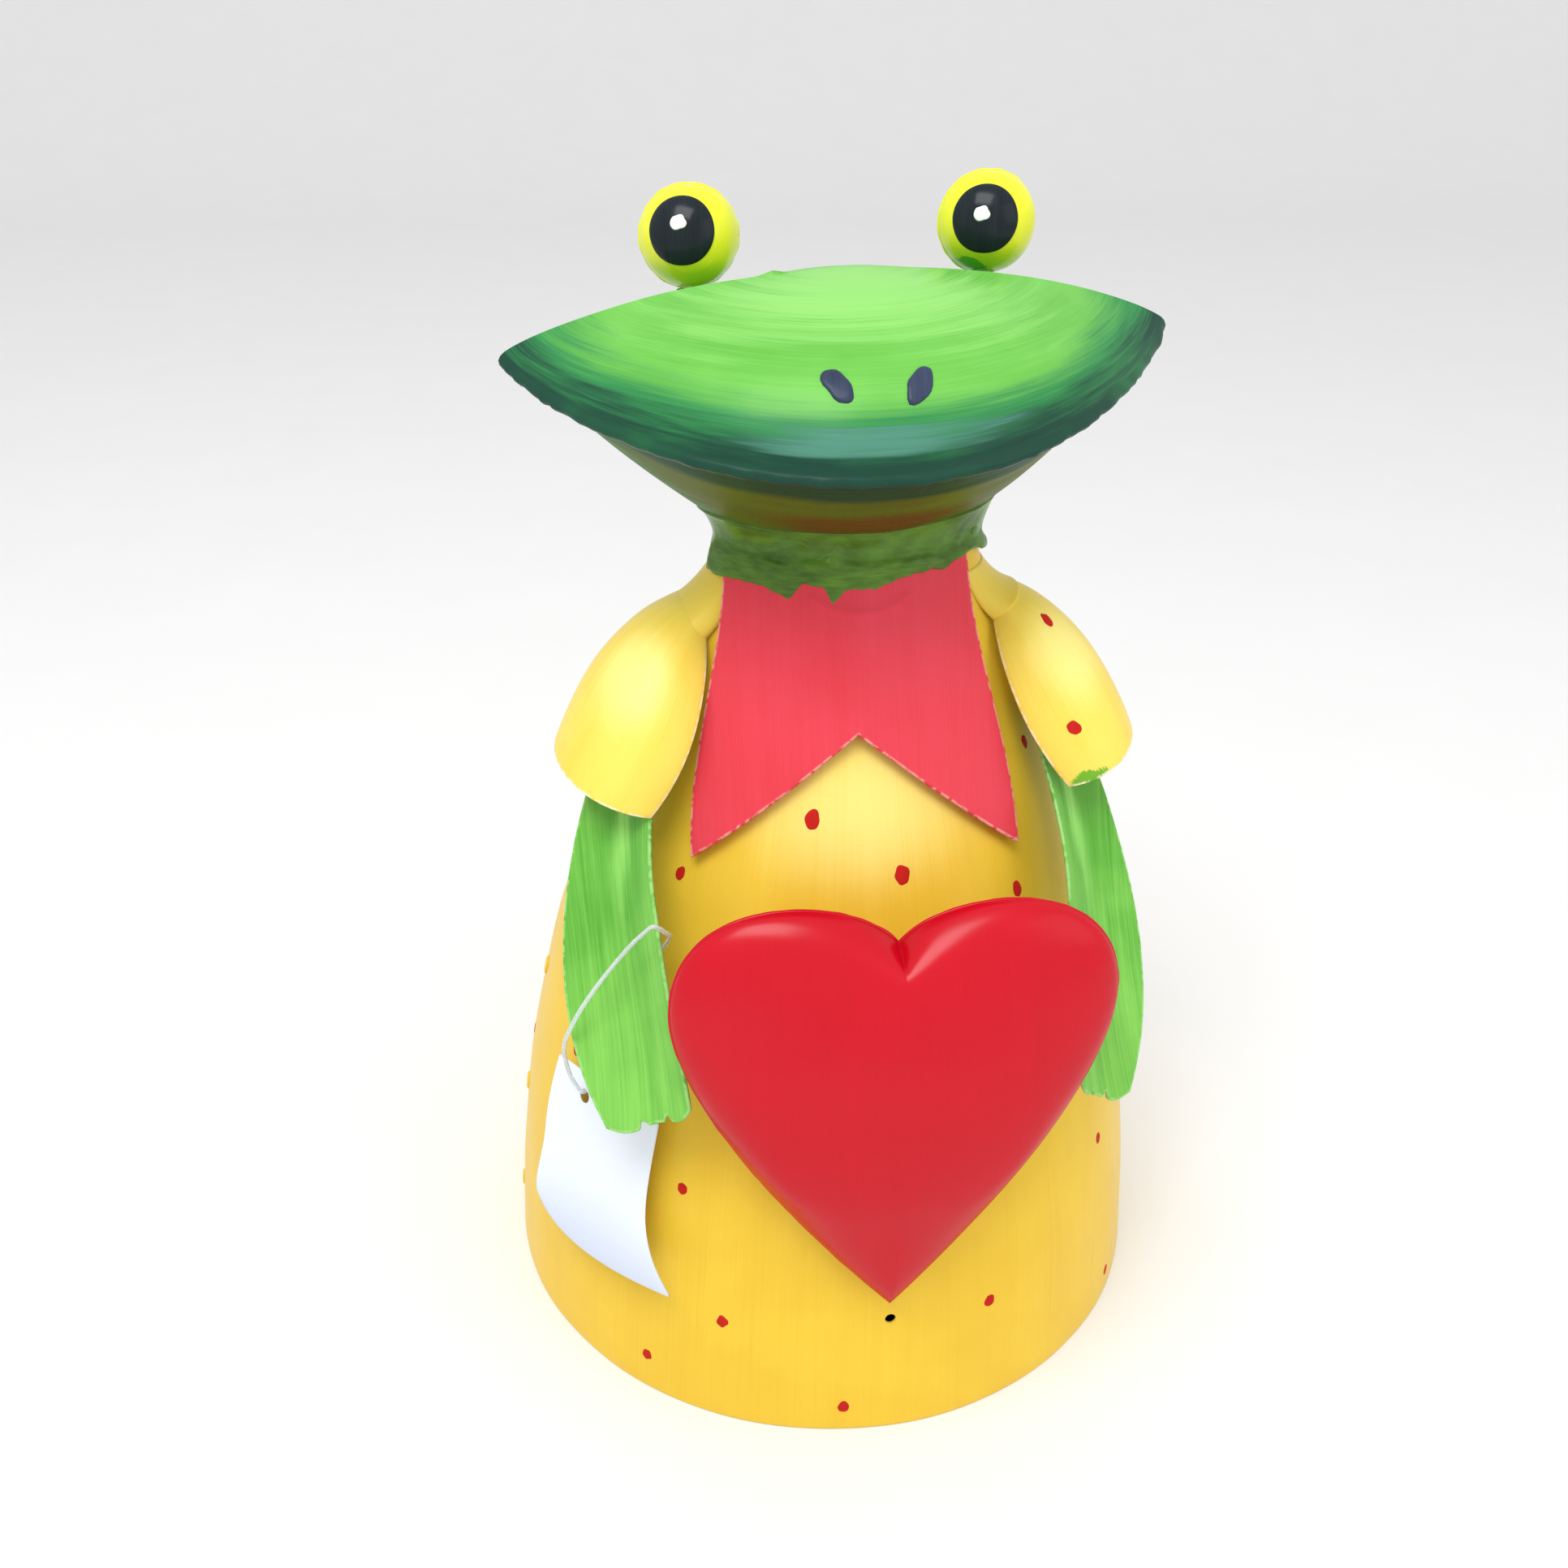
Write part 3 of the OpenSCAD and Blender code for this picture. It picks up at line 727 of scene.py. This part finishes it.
# the scarf's zone is a painted highlight along the middle ridge and on the left
SCARF_PAINT = paint("scarf_red", (0.76, 0.062, 0.095), (0.70, 0.045, 0.062), contrast=0.1, bristle=0.6,
                    stroke=7, length=50, edge=(0.86, 0.34, 0.30), seed=14, rough=0.26,
                    zones=[("X", (0.88, 0.17, 0.21), 0.3, 1.0, 0.4)])
CARD = card_material()
NYLON = nylon_material()


# ---- camera
CAMERA_AT = (-60.4, -381.25, 359.0)
CAMERA_HEADING = -6.93
CAMERA_PITCH = 28.0
CAMERA_ROLL = 0.6
CAMERA_LENS = 34.1
CAMERA_SENSOR = 36

# the studio, in metres
SWEEP_FRONT = -3
SWEEP_BEND = 2.4
SWEEP_R = 1.2
SWEEP_TOP = 5.0
SWEEP_HALF = 5.0
LIGHT_AIM = (0, 0, 0.16)
LIGHTS = [  # name, place, size and power in watts
    ("key_light", (-0.3, -0.6, 1.4), (0.8, 0.6), 12),
    ("fill_light", (0.9, -0.7, 0.7), (0.8, 0.8), 1.5),
]
SKY_STRENGTH = 0.88


def add_camera():
    turns = ((CAMERA_HEADING, "Z"), (90 - CAMERA_PITCH, "X"), (CAMERA_ROLL, "Z"))
    heading, slope, roll = (Matrix.Rotation(math.radians(turn), 4, axis) for turn, axis in turns)
    data = bpy.data.cameras.new("camera")
    data.lens = CAMERA_LENS
    data.sensor_width = CAMERA_SENSOR
    camera = new_object("camera", data)
    camera.matrix_world = Matrix.Translation(to_frame(CAMERA_AT)) @ heading @ slope @ roll
    bpy.context.scene.camera = camera


def add_light(name, at, size, power):
    data = bpy.data.lights.new(name, "AREA")
    data.shape = "RECTANGLE"
    data.size, data.size_y = size
    data.energy = power
    light = new_object(name, data)
    light.location = at
    aim = Vector(LIGHT_AIM) - Vector(at)
    light.rotation_euler = aim.to_track_quat("-Z", "Y").to_euler()


def add_studio():
    """A pale sweep that curves up far behind the object, two soft lights and an even sky."""
    curve = [(SWEEP_BEND + SWEEP_R * math.sin(a), SWEEP_R - SWEEP_R * math.cos(a))
             for a in np.linspace(0, math.pi / 2, 13)]
    run = [(SWEEP_FRONT, 0), *curve, (SWEEP_BEND + SWEEP_R, SWEEP_TOP)]
    points = [(x, y, z) for y, z in run for x in (-SWEEP_HALF, SWEEP_HALF)]
    faces = [(2 * i, 2 * i + 1, 2 * i + 3, 2 * i + 2) for i in range(len(run) - 1)]
    mesh = bpy.data.meshes.new("studio_sweep")
    mesh.from_pydata(points, [], faces)
    mesh.materials.append(floor_material())
    mesh.shade_smooth()
    sweep = new_object("studio_sweep", mesh)
    for light in LIGHTS:
        add_light(*light)
    world = bpy.data.worlds.new("even_sky")
    world.use_nodes = True
    sky = world.node_tree.nodes["Background"].inputs
    sky["Color"].default_value = (1, 1, 1, 1)
    sky["Strength"].default_value = SKY_STRENGTH
    bpy.context.scene.world = world
    bpy.context.scene.view_settings.view_transform = "Standard"


# ---- parts
def keep(piece, body, slot, *cad_nodes):
    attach(piece, body)
    if cad_nodes:
        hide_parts(*cad_nodes)
    return piece


def smooth_path(route, steps):
    """A Catmull-Rom path through every point of the route."""
    p = np.array(route, float)
    path = []
    last = len(p) - 1
    for i in range(last):
        a, b, c, d = p[max(i - 1, 0)], p[i], p[i + 1], p[min(i + 2, last)]
        for k in range(steps + (i == last - 1)):
            t = k / steps
            path.append(0.5 * (2 * b + (c - a) * t + (2 * a - 5 * b + 4 * c - d) * t * t
                               + (3 * b - a - 3 * c + d) * t ** 3))
    return np.array(path)


def add_tag():
    """The card bows out, and its lower left corner curls forward."""
    v, u = spread(even(49), even(41))
    low_left, low_right, top_left, top_right = (np.array(at, float) for at in TAG_CORNERS)
    bottom = bezier([low_left, (-12, -22), (2, -27), low_right], u)
    top = mix(top_left, top_right, u[..., None])
    left = bezier([low_left, (-20, -6), (-21.5, 12), top_left], v)
    right = bezier([low_right, (24, -7), (22, -4), top_right], v)
    straight = mix(mix(low_left, low_right, u[..., None]), top, v[..., None])
    flat = mix(bottom, top, v[..., None]) + mix(left, right, u[..., None]) - straight
    rise = TAG_T + TAG_BOW * np.sin(math.pi * v) + TAG_CURL * (1 - smooth(v / 0.5)) * (1 - 0.7 * u)
    grid = in_tag_plane(np.concatenate([flat, rise[..., None]], -1))
    card = sheet_piece("tag_card", grid, CARD, layered(flat[..., 0], flat[..., 1]), thick=TAG_T)
    behind, before = (in_tag_plane(np.array([*TAG_HOLE, off])) for off in (0.0, 10.0))
    hole_cut(card, behind, before, TAG_HOLE_R)
    keep(card, "tag", "tag_card", "hang_tag")


def add_loop():
    """Nylon from behind the arm, down through the tag's hole, and back over the arm's front."""
    path = to_frame(smooth_path(LOOP_ROUTE, LOOP_STEPS))
    data = bpy.data.curves.new("tag_loop_line", "CURVE")
    data.dimensions = "3D"
    data.bevel_depth = LOOP_D / 2 * MM
    data.bevel_resolution = 4
    data.use_fill_caps = True
    spline = data.splines.new("POLY")
    spline.points.add(len(path) - 1)
    for point, at in zip(spline.points, path):
        point.co = (*at, 1)
    data.materials.append(NYLON)
    loop = new_object("nylon_loop", data)
    keep(loop, "tag", "clear_nylon", "tag_loop")


def hole_cut(piece, start, end, radius):
    """A round hole of that radius through a piece, along the line from start to end, in mm."""
    start, end = np.asarray(start, float), np.asarray(end, float)
    along = (end - start) / np.linalg.norm(end - start)
    path = np.array([start - along * 6, start + along * 12])
    cutter = tube_piece("cutter", path, radius, CARD, sides=40, facing=(0.3, 0.2, 1))
    cut = piece.modifiers.new("hole", "BOOLEAN")
    cut.operation = "DIFFERENCE"
    cut.object = cutter
    cut.solver = "EXACT"
    piece.modifiers.move(len(piece.modifiers) - 1, 0)
    graph = bpy.context.evaluated_depsgraph_get()
    crisp = piece.modifiers["crisp_edges"]
    crisp.show_viewport = False
    bpy.context.view_layer.update()
    graph.update()
    made = bpy.data.meshes.new_from_object(piece.evaluated_get(graph), depsgraph=graph)
    piece.modifiers.remove(piece.modifiers[0])
    crisp.show_viewport = True
    piece.data = made
    bpy.data.objects.remove(cutter)


def add_body():
    rows = bezier(BELL, even(91))[:, 1]
    for name, first, cad in (("body_front", -90, "body_front_shell"), ("body_back", 90, "body_back_shell")):
        z, turn = spread(rows, np.linspace(first, first + 180, 97))
        # painted highlight: paler high on the front of the body, where the light falls strongest
        belly_highlight = peak(turn, 0, 38) * peak(z, 172, 26) * (np.cos(np.radians(turn)) > 0)
        shell = sheet_piece(name, body_skin(turn, z), BODY_PAINT, layered(turn * 1.6, z), layered(belly_highlight))
        if name == "body_front":
            vent = (np.array(VENT_TURN), np.array(VENT_Z))
            hole_cut(shell, body_skin(*vent), body_skin(*vent, 5.0), VENT_R)
        keep(shell, "figure", "yellow_paint", cad)


def on_body(turn, z):
    """The body's surface as a flat map in mm round one place on it."""
    def surface(a, b):
        return body_skin(np.array(turn + math.degrees(a / float(body_w(z)))), np.array(z + b))
    return surface


# turn, height and radius; those from 90 to 270 degrees are on the back, and are guessed
BODY_DOTS = [
    (-12.3, 169.2, 2.2), (8.6, 155.4, 2.3), (-43.3, 151.6, 1.7), (37.9, 144.9, 1.9), (56.6, 177.7, 1.7),
    (-84.1, 125, 1.9), (-63, 92.7, 1.8), (-33.1, 72.8, 1.6), (-61.3, 39.8, 1.6), (-24.6, 34.4, 1.8),
    (-38.3, 12.2, 1.7), (-4.3, 8.5, 1.8), (20.8, 36.3, 1.9), (51.2, 63.5, 1.6), (55, 8.3, 1.6),
    (82, 96, 1.9), (100, 38, 1.8), (118, 128, 2.0), (131, 76, 1.7), (150, 165, 1.8), (158, 30, 1.9),
    (171, 108, 1.8), (188, 148, 2.0), (196, 58, 1.7), (214, 20, 1.8), (222, 112, 1.9), (238, 168, 1.7),
    (246, 66, 1.8), (262, 22, 1.8), (268, 70, 1.7),
]


def add_body_dots():
    blobs = [(on_body(turn, z), (0, 0), (r * 0.92, r * 1.05), DOT_LIFT, i * 1.7)
             for i, (turn, z, r) in enumerate(BODY_DOTS)]
    keep(blobs_piece("body_dots", blobs, DOT_PAINT), "figure", "heart_red_paint")


def add_seams():
    """Tack welds, painted over, where the two halves of the body meet."""
    blobs = [(on_body(side, z), (0, 0), SIDE_WELD_R, 0.7, z) for side in (90, 270) for z in SIDE_WELD_Z]
    keep(blobs_piece("side_tack_welds", blobs, BODY_PAINT), "figure", "yellow_paint")


# how far the band's lower edge is moved up, in mm, at each turn in degrees
BAND_EDGE = [
    (-180, 0.5), (-120, -1.5), (-74, 0), (-45, 0.8), (-28, -2.6), (-23, 1.8), (-14, 0), (-11.5, -5.4),
    (-7, 0), (17, 2.6), (40, 4.8), (57, 6.6), (75, 4.5), (110, 1), (150, -1), (180, 0.5),
]

# turn, height, radii and lift
WELD_BEADS = [
    (-62, 234, (3.4, 1.4), 0.9), (-24, 230.5, (3.0, 1.0), 0.8), (-12, 231.5, (2.2, 2.4), 1.3),
    (62, 234.5, (3.0, 1.2), 0.8), (120, 231, (4.0, 2.0), 1.0), (-150, 232, (4.4, 2.0), 1.0),
]


def on_neck(turn, z):
    """The neck's weld as a flat map in mm round one place on it."""
    def surface(a, b):
        at_turn = np.array(turn + math.degrees(a / 36))
        return body_point(at_turn, np.array(min(z + b, NECK_Z)), BEAD_OUT)
    return surface


def add_neck_band():
    s, turn = spread(even(18), all_round(220))
    edge_points = body_point(turn, 228 + 0 * turn)
    ragged = 0.8 * lumps(edge_points, 3.0, 8) + 1.1 * lumps(edge_points, 7.0, 2)
    low = BAND_BOTTOM - SMEAR_DROP + np.interp(turn, *zip(*BAND_EDGE)) + ragged
    z = mix(low, BAND_TOP + 1.2, s)
    base = body_point(turn, np.minimum(z, NECK_Z))
    base[..., 2] = z
    knobs = 0.8 * np.maximum(lumps(base, 6.5, 2.2), -0.2) + 0.35 * lumps(base, 2.2, 5.4)
    over_scarf = smooth((SMEAR_TURN - np.abs(turn)) / 6) * smooth((SCARF_TOP + 1.5 - z) / 3)
    out = 1.2 + 0.3 * np.sin(math.pi * s) ** 0.6 + 0.7 * knobs * smooth(4 * s * (1 - s) + 0.15)
    grid = body_point(turn, np.minimum(z, NECK_Z), out + SMEAR_OUT * over_scarf)
    grid[..., 2] = z
    upper = leaned(throat_point(turn, np.full(turn.shape, 0.1)))
    upper = upper + (upper - (0, HEAD_Y, NECK_Z)) * (1, 1, 0) * 0.03
    grid = mix(grid, upper, smooth((s - 0.55) / 0.45)[..., None])
    band = sheet_piece("neck_weld", grid, WELD_PAINT, layered(z, turn * 0.6), thick=1.3, closed=True)
    keep(band, "figure", "weld_green_paint", "neck_weld_band")
    beads = [(on_neck(turn_at, z_at), (0, 0), radii, lift * 0.8, turn_at)
             for turn_at, z_at, radii, lift in WELD_BEADS]
    keep(blobs_piece("neck_weld_beads", beads, WELD_PAINT), "figure", "weld_green_paint")


def crimped_lip(rim):
    """Rows of points that hang out and down from the rim, with the crimp's unevenness."""
    outward = (rim - rim.mean(0)) * (1, 1, 0)
    outward /= np.linalg.norm(outward, axis=1, keepdims=True)
    crimp = 0.5 * lumps(rim, 3.2, 1.5) + 0.35 * lumps(rim, 1.4, 4.5)
    rows = []
    for out, drop, rough in LIP_PROFILE:
        fall = np.outer(drop + 0.5 * rough * crimp, (0, 0, 1))
        rows.append(rim + outward * (out + rough * crimp)[:, None] - fall)
    return np.array(rows)


def add_head():
    turn_row = all_round(224)
    shares = np.concatenate([[1.0], 1 - np.geomspace(0.004, 0.9, 44)])
    s, turn = spread(shares, turn_row)
    grid = beaten(head_skin(turn, s), True, 0.35, 26, 6.3, smooth((1 - s) * 12))
    lip = crimped_lip(grid[0])
    grid = np.concatenate([lip, grid])
    s = np.concatenate([np.ones(lip.shape[:2]), s])
    turn = np.concatenate([np.tile(turn_row, (len(lip), 1)), turn])
    x, y = grid[..., 0], grid[..., 1]
    front = np.cos(np.radians(turn)) > 0
    reach = mix(np.where(front, 0.90, 0.92), 0.74, np.abs(np.sin(np.radians(turn))) ** 4)
    dark = np.clip((s - reach) / (1.01 - reach), -1, 1) * 0.8 + 0.15
    # light: painted highlight on the front of the dome
    light = peak(x, 0, 52) * peak(y, -22, 26)
    # painted highlight: a greyish patch at the middle of the front lip
    lip_highlight = peak(x, -2, 34) * smooth((s - 0.93) / 0.03) * (1 - smooth((s - 0.985) / 0.012)) * front
    pole = crown_point(np.array(0.0), np.array(0.0))
    shell = sheet_piece("head_upper", grid, HEAD_PAINT, layered(s * 52, x, y * 0.3),
                        layered(dark, light, lip_highlight), closed=True, pole=pole)
    keep(shell, "figure", "head_green_paint", "head_upper_shell")


def on_head(turn_at, s_at):
    """The head's upper surface as a flat map in mm round one place on it."""
    def surface(a, b):
        return head_skin(np.array(turn_at + a * 1.28), np.array(s_at + b / 50))
    return surface


def add_nostrils():
    blobs = []
    for turn_at, s_at, slant in NOSTRILS:
        flat = on_head(turn_at, s_at)
        surface = (lambda a, b, flat=flat, slant=slant: flat(a + slant * b, -b))
        blobs.append((surface, (0, 0), NOSTRIL_R, 0.5, turn_at))
    keep(blobs_piece("nostrils", blobs, NOSTRIL_PAINT), "figure", "head_green_paint")


def add_throat():
    v, turn = spread(even(40), all_round(180))
    grid = leaned(throat_point(turn, v))
    grid = beaten(grid, True, 0.5, 22, 9.1, smooth(v * 6) * smooth((1 - v) * 8))
    brown = peak(turn, -2, 34) * (1 - smooth((v - 0.35) / 0.4))
    green = smooth((0.86 - np.cos(np.radians(turn))) / 0.5) * 0.9
    # painted shade: darker towards the top of the throat, under the head's rim
    under = smooth((v - 0.62) / 0.3)
    flow = layered(v * 60, grid[..., 0], grid[..., 1] * 0.3)
    throat = sheet_piece("head_throat", grid, THROAT_PAINT, flow, layered(brown, green, under), closed=True)
    keep(throat, "figure", "throat_green_paint", "head_throat_shell")


def add_ball(side):
    """A ball's two halves, and the bead of the seam between them."""
    centre = np.array(EYES[side])
    for half, sign in (("front", -1), ("back", 1)):
        s, a = spread(even(26)[:-1], np.linspace(0, 2 * math.pi, 72, endpoint=False))
        tilt = s * math.pi / 2
        ring = EYE_R * np.cos(tilt)
        y = sign * (EYE_R * np.sin(tilt) + HALF_GAP)
        grid = np.stack([ring * np.cos(a) * -sign, y, ring * np.sin(a)], -1) + centre
        grid = beaten(grid, True, 0.22, 7, 1.9, smooth(s * 5))
        x, up = grid[..., 0] - centre[0], grid[..., 2] - centre[2]
        smear = peak(x, -6, 4) * peak(up, -10, 3) + 0.8 * peak(x, -2, 3) * peak(up, -12, 2)
        # the first channel is painted shade: darker and greener towards the ball's underside
        mask = layered(smooth((2 - up) / 12), smear * (side == "right"))
        flow = layered(tilt * EYE_R, grid[..., 0], grid[..., 2] * 0.3)
        pole = centre + (0, sign * (EYE_R + HALF_GAP), 0)
        ball = sheet_piece(f"eye_{side}_{half}", grid, EYE_PAINT, flow, mask, closed=True, pole=pole)
        keep(ball, f"eye_{side}_ball", f"eye_{half}_paint", f"eye_{side}_{half}_half")
    a = np.linspace(0, 2 * math.pi, 90)
    bead = centre + layered(np.cos(a), 0 * a, np.sin(a)) * (EYE_R - 0.1)
    size = 0.42 + 0.14 * np.sin(5 * a) * np.sin(11 * a)
    seam = tube_piece(f"eye_{side}_seam", bead, size, EYE_PAINT, facing=(0, 1, 0))
    keep(seam, f"eye_{side}_ball", "eye_front_paint")


def on_eye(side):
    """A ball's front as a flat map in mm round the pupil's middle."""
    turn, lift = PUPIL_AIM[side]

    def surface(a, b):
        reach = max(math.hypot(a, b), 1e-6)
        polar = reach / EYE_R
        d = np.array([math.sin(polar) * a / reach, -math.cos(polar), math.sin(polar) * b / reach])
        return np.array(EYES[side]) + (EYE_R + PUPIL_LIFT) * turned(d, (-lift, 0, turn))
    return surface


def add_eyes():
    for side in EYES:
        add_ball(side)
        surface = on_eye(side)
        pupil = blobs_piece(f"eye_{side}_pupil", [(surface, (0, 0), (PUPIL_R, PUPIL_R), 0.2, 0.3)],
                            PUPIL_PAINT, spokes=64, rough=0.015)
        keep(pupil, f"eye_{side}_ball", "eye_front_paint")
        glint = [(surface, GLINT_AT[side], GLINT_R, 0.5, 4.0)]
        spot = blobs_piece(f"eye_{side}_glint_dot", glint, WHITE_PAINT)
        keep(spot, f"eye_{side}_ball", "eye_front_paint")


def add_springs():
    for side, (x, y, z) in EYES.items():
        foot_z = SPRING_FOOT[side] - SPRING_SINK
        top = z - math.sqrt(EYE_R ** 2 - SPRING_R ** 2) - SPRING_WIRE / 2 - COIL_GAP
        share = even(76)
        a = 2 * math.pi * SPRING_TURNS * share
        path = np.stack([x + SPRING_R * np.cos(a), y + SPRING_R * np.sin(a), mix(foot_z, top, share)], -1)
        coil = tube_piece(f"eye_{side}_coil", path, SPRING_WIRE / 2, SPRING_PAINT)
        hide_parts(f"eye_{side}_spring")
        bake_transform(coil)


def add_sleeves():
    for side in FLIP:
        s, turn = spread(np.linspace(1, 0, 46), np.linspace(0, 180, 49))
        grid = beaten(sleeve_point(s, turn), False, 0.35, 16, 2.7, smooth((1 - s) * 5) * smooth(s * 6))
        pale = peak(turn, 55, 40) * peak(s, 0.45, 0.3)
        smudge = 1.1 * peak(turn, 17, 17) * peak(s, 1.0, 0.06) * (side == "right")
        sleeve = sheet_piece(f"sleeve_{side}_cap", on_shoulder(grid, side), SLEEVE_PAINT,
                             layered(turn * 0.55, s * 48), layered(pale, smudge))
        keep(sleeve, "figure", "sleeve_yellow_paint", f"sleeve_{side}")


def add_shoulders():
    """The collar's flared edge: sheet that turns from the neck out onto each sleeve."""
    for side, flip in FLIP.items():
        v, j = spread(even(25), even(33))
        foot = body_point(flip * mix(*SHOULDER_TURNS, j), SHOULDER_Z + 0 * j, 0.4)
        tip = on_shoulder(sleeve_point(np.full(j.shape, SHOULDER_REACH), 180 * j), side)
        tip = tip + (0, 0, 0.5)
        bend = mix(foot, tip, 0.45) - (0, 0, SHOULDER_SAG)
        t = v[..., None]
        grid = foot * (1 - t) ** 2 + 2 * bend * t * (1 - t) + tip * t * t
        flare = sheet_piece(f"shoulder_{side}_flare", grid[::-1, ::flip], SHOULDER_PAINT,
                            layered(j * 40, v * 20))
        keep(flare, "figure", "sleeve_yellow_paint")


def on_sleeve(side, s_at, turn_at):
    """A sleeve's surface as a flat map in mm round one place on it."""
    def surface(a, b):
        turn = np.array(turn_at + FLIP[side] * a * 2.6)
        return on_shoulder(sleeve_point(np.array(s_at - b / 50), turn), side)
    return surface


# side, share of the way down the sleeve, turn and radius
SLEEVE_DOTS = [
    ("left", 0.63, 40, 2.3), ("right", 0.28, 61, 2.0), ("right", 0.74, 25, 1.9),
    ("left", 0.5, 120, 1.9), ("right", 0.45, 130, 1.9), ("left", 0.8, 150, 1.8),
]


def add_sleeve_dots():
    blobs = [(on_sleeve(side, s, turn), (0, 0), (r, r * 0.95), SLEEVE_DOT_LIFT, i * 2.3)
             for i, (side, s, turn, r) in enumerate(SLEEVE_DOTS)]
    keep(blobs_piece("sleeve_dots", blobs, DOT_PAINT), "figure", "heart_red_paint")


def arm_point(side, s, u):
    """The arm's bulged strip, from shoulder to hand along s and from inner to outer edge along u."""
    inner, outer = bezier(ARM_INNER + [HAND_END[side]], s), bezier(ARM_OUTER, s)
    across = outer - inner
    out = np.cross(across, ARM_ALONG)
    out /= np.linalg.norm(out, axis=-1, keepdims=True)
    width = np.linalg.norm(across, axis=-1, keepdims=True)
    u = np.asarray(u)[..., None]
    return mix(inner, outer, u) + out * ARM_BULGE * width * np.sin(math.pi * u), width[..., 0]


def add_arms():
    for side in FLIP:
        s, u = spread(np.linspace(1, 0, 70), even(29))
        gaps = FINGER_GAP * np.maximum(np.cos(6 * math.pi * u), 0) ** 4 * (np.abs(u - 0.5) < 0.4)
        fingers = 1 - gaps - HAND_ROUND * np.abs(2 * u - 1) ** 4
        s = s * mix(1, fingers, smooth((s - 0.82) / 0.18))
        grid, width = arm_point(side, s, u)
        grid = beaten(grid, False, 0.3, 12, 4.2, smooth(s * 5) * smooth((1 - s) * 6))
        pale = peak(u, 0.45, 0.2) * peak(s, 0.3, 0.28)
        arm = sheet_piece(f"arm_{side}_plate", mirrored(grid, side), ARM_PAINT,
                          layered(u * width, s * ARM_RUN), layered(pale))
        keep(arm, "figure", "arm_green_paint", f"arm_{side}")


def on_arm(side, s_at, u_at):
    """An arm's surface as a flat map in mm round one place on it."""
    def surface(a, b):
        return mirrored(arm_point(side, s_at - b / ARM_RUN, u_at + FLIP[side] * a / ARM_WIDTH)[0], side)
    return surface


def add_nails():
    blobs = [(on_arm("left", 0.965, u), (0, 0), (0.7, 1.5), 0.3, u * 9) for u in (0.42, 0.66)]
    keep(blobs_piece("finger_nails", blobs, WHITE_PAINT), "figure", "arm_green_paint")


def heart_outline(steps):
    t = np.linspace(0, 1, steps, endpoint=False)
    right = np.concatenate([bezier(HEART_FLANK, t), bezier(HEART_LOBE, t)])
    down = np.concatenate([bezier(HEART_LOBE, 1 - t), bezier(HEART_FLANK, 1 - t)]) * (-1, 1)
    return np.concatenate([right, down])


def add_heart():
    """The two welded shells and the bead of the seam round them."""
    outline = heart_outline(44)
    shares = np.concatenate([[1.0, 0.997, 0.99], np.linspace(0.975, 0.06, 36)])
    for half, depth, sign in (("front", HEART_FRONT, 1), ("back", HEART_BACK, -1)):
        ring = outline[::sign]
        s, k = spread(shares, np.arange(len(ring)))
        flat = heart_point(ring[k], s, depth) * (1, sign, 1)
        grid = beaten(in_heart_plane(flat), True, 0.35, 24, 5.5, smooth((1 - s) * 7) * (sign > 0))
        pole = in_heart_plane(np.array([HEART_CENTRE[0], sign * (-depth - HALF_GAP), HEART_CENTRE[1]]))
        shell = sheet_piece(f"heart_{half}", grid, HEART_PAINT,
                            layered(flat[..., 0], flat[..., 2], flat[..., 1]), closed=True, pole=pole)
        keep(shell, "figure", "heart_red_paint", f"heart_{half}_shell")
    rim = in_heart_plane(np.insert(outline * 0.996, 1, 0, axis=1))
    closed_rim = np.concatenate([rim, rim[:1]])
    size = 0.55 + 0.18 * lumps(closed_rim, 4, 3.3)
    seam = tube_piece("heart_seam", closed_rim, size, HEART_PAINT, sides=10, facing=(0, 1, 0.1))
    keep(seam, "figure", "heart_red_paint")


def add_scarf():
    v, u = spread(even(70), np.linspace(-1, 1, 81))
    z = mix(mix(SCARF_NOTCH_Z, SCARF_TIP_Z, np.abs(u)), SCARF_TOP, v)
    x = u * mix(SCARF_TIP_R, SCARF_TOP_R, smooth(v))
    ridge = 0.5 * peak(x, 1, 4.5) * smooth((226 - z) / 14)
    dents = -0.5 * (peak(x, -12, 6) + peak(x, 13, 6)) * peak(z, 204, 9)
    crease = 0.5 * peak(z, 219 + 0.022 * (x - 2) ** 2, 1.1) * (np.abs(x - 2) < 13)
    off = mix(1.5, 2.4, smooth((1 - v) * 8)) + 2 * (1 - v) + ridge + dents + crease
    grid = np.stack([x, body_front_y(x, z, off), z], -1)
    # pale: painted highlight along the middle ridge and on the left side
    pale = 0.3 * peak(x, 1, 6) * smooth((214 - z) / 12) + 0.3 * peak(x, -20, 9) * peak(z, 205, 16)
    scarf = sheet_piece("scarf_plate", grid, SCARF_PAINT, layered(x, z), layered(pale))
    keep(scarf, "figure", "scarf_red_paint", "scarf")


add_camera()
add_tag()
add_loop()
add_studio()
add_body()
add_body_dots()
add_seams()
add_neck_band()
add_head()
add_nostrils()
add_throat()
add_eyes()
add_springs()
add_sleeves()
add_shoulders()
add_sleeve_dots()
add_arms()
add_nails()
add_heart()
add_scarf()
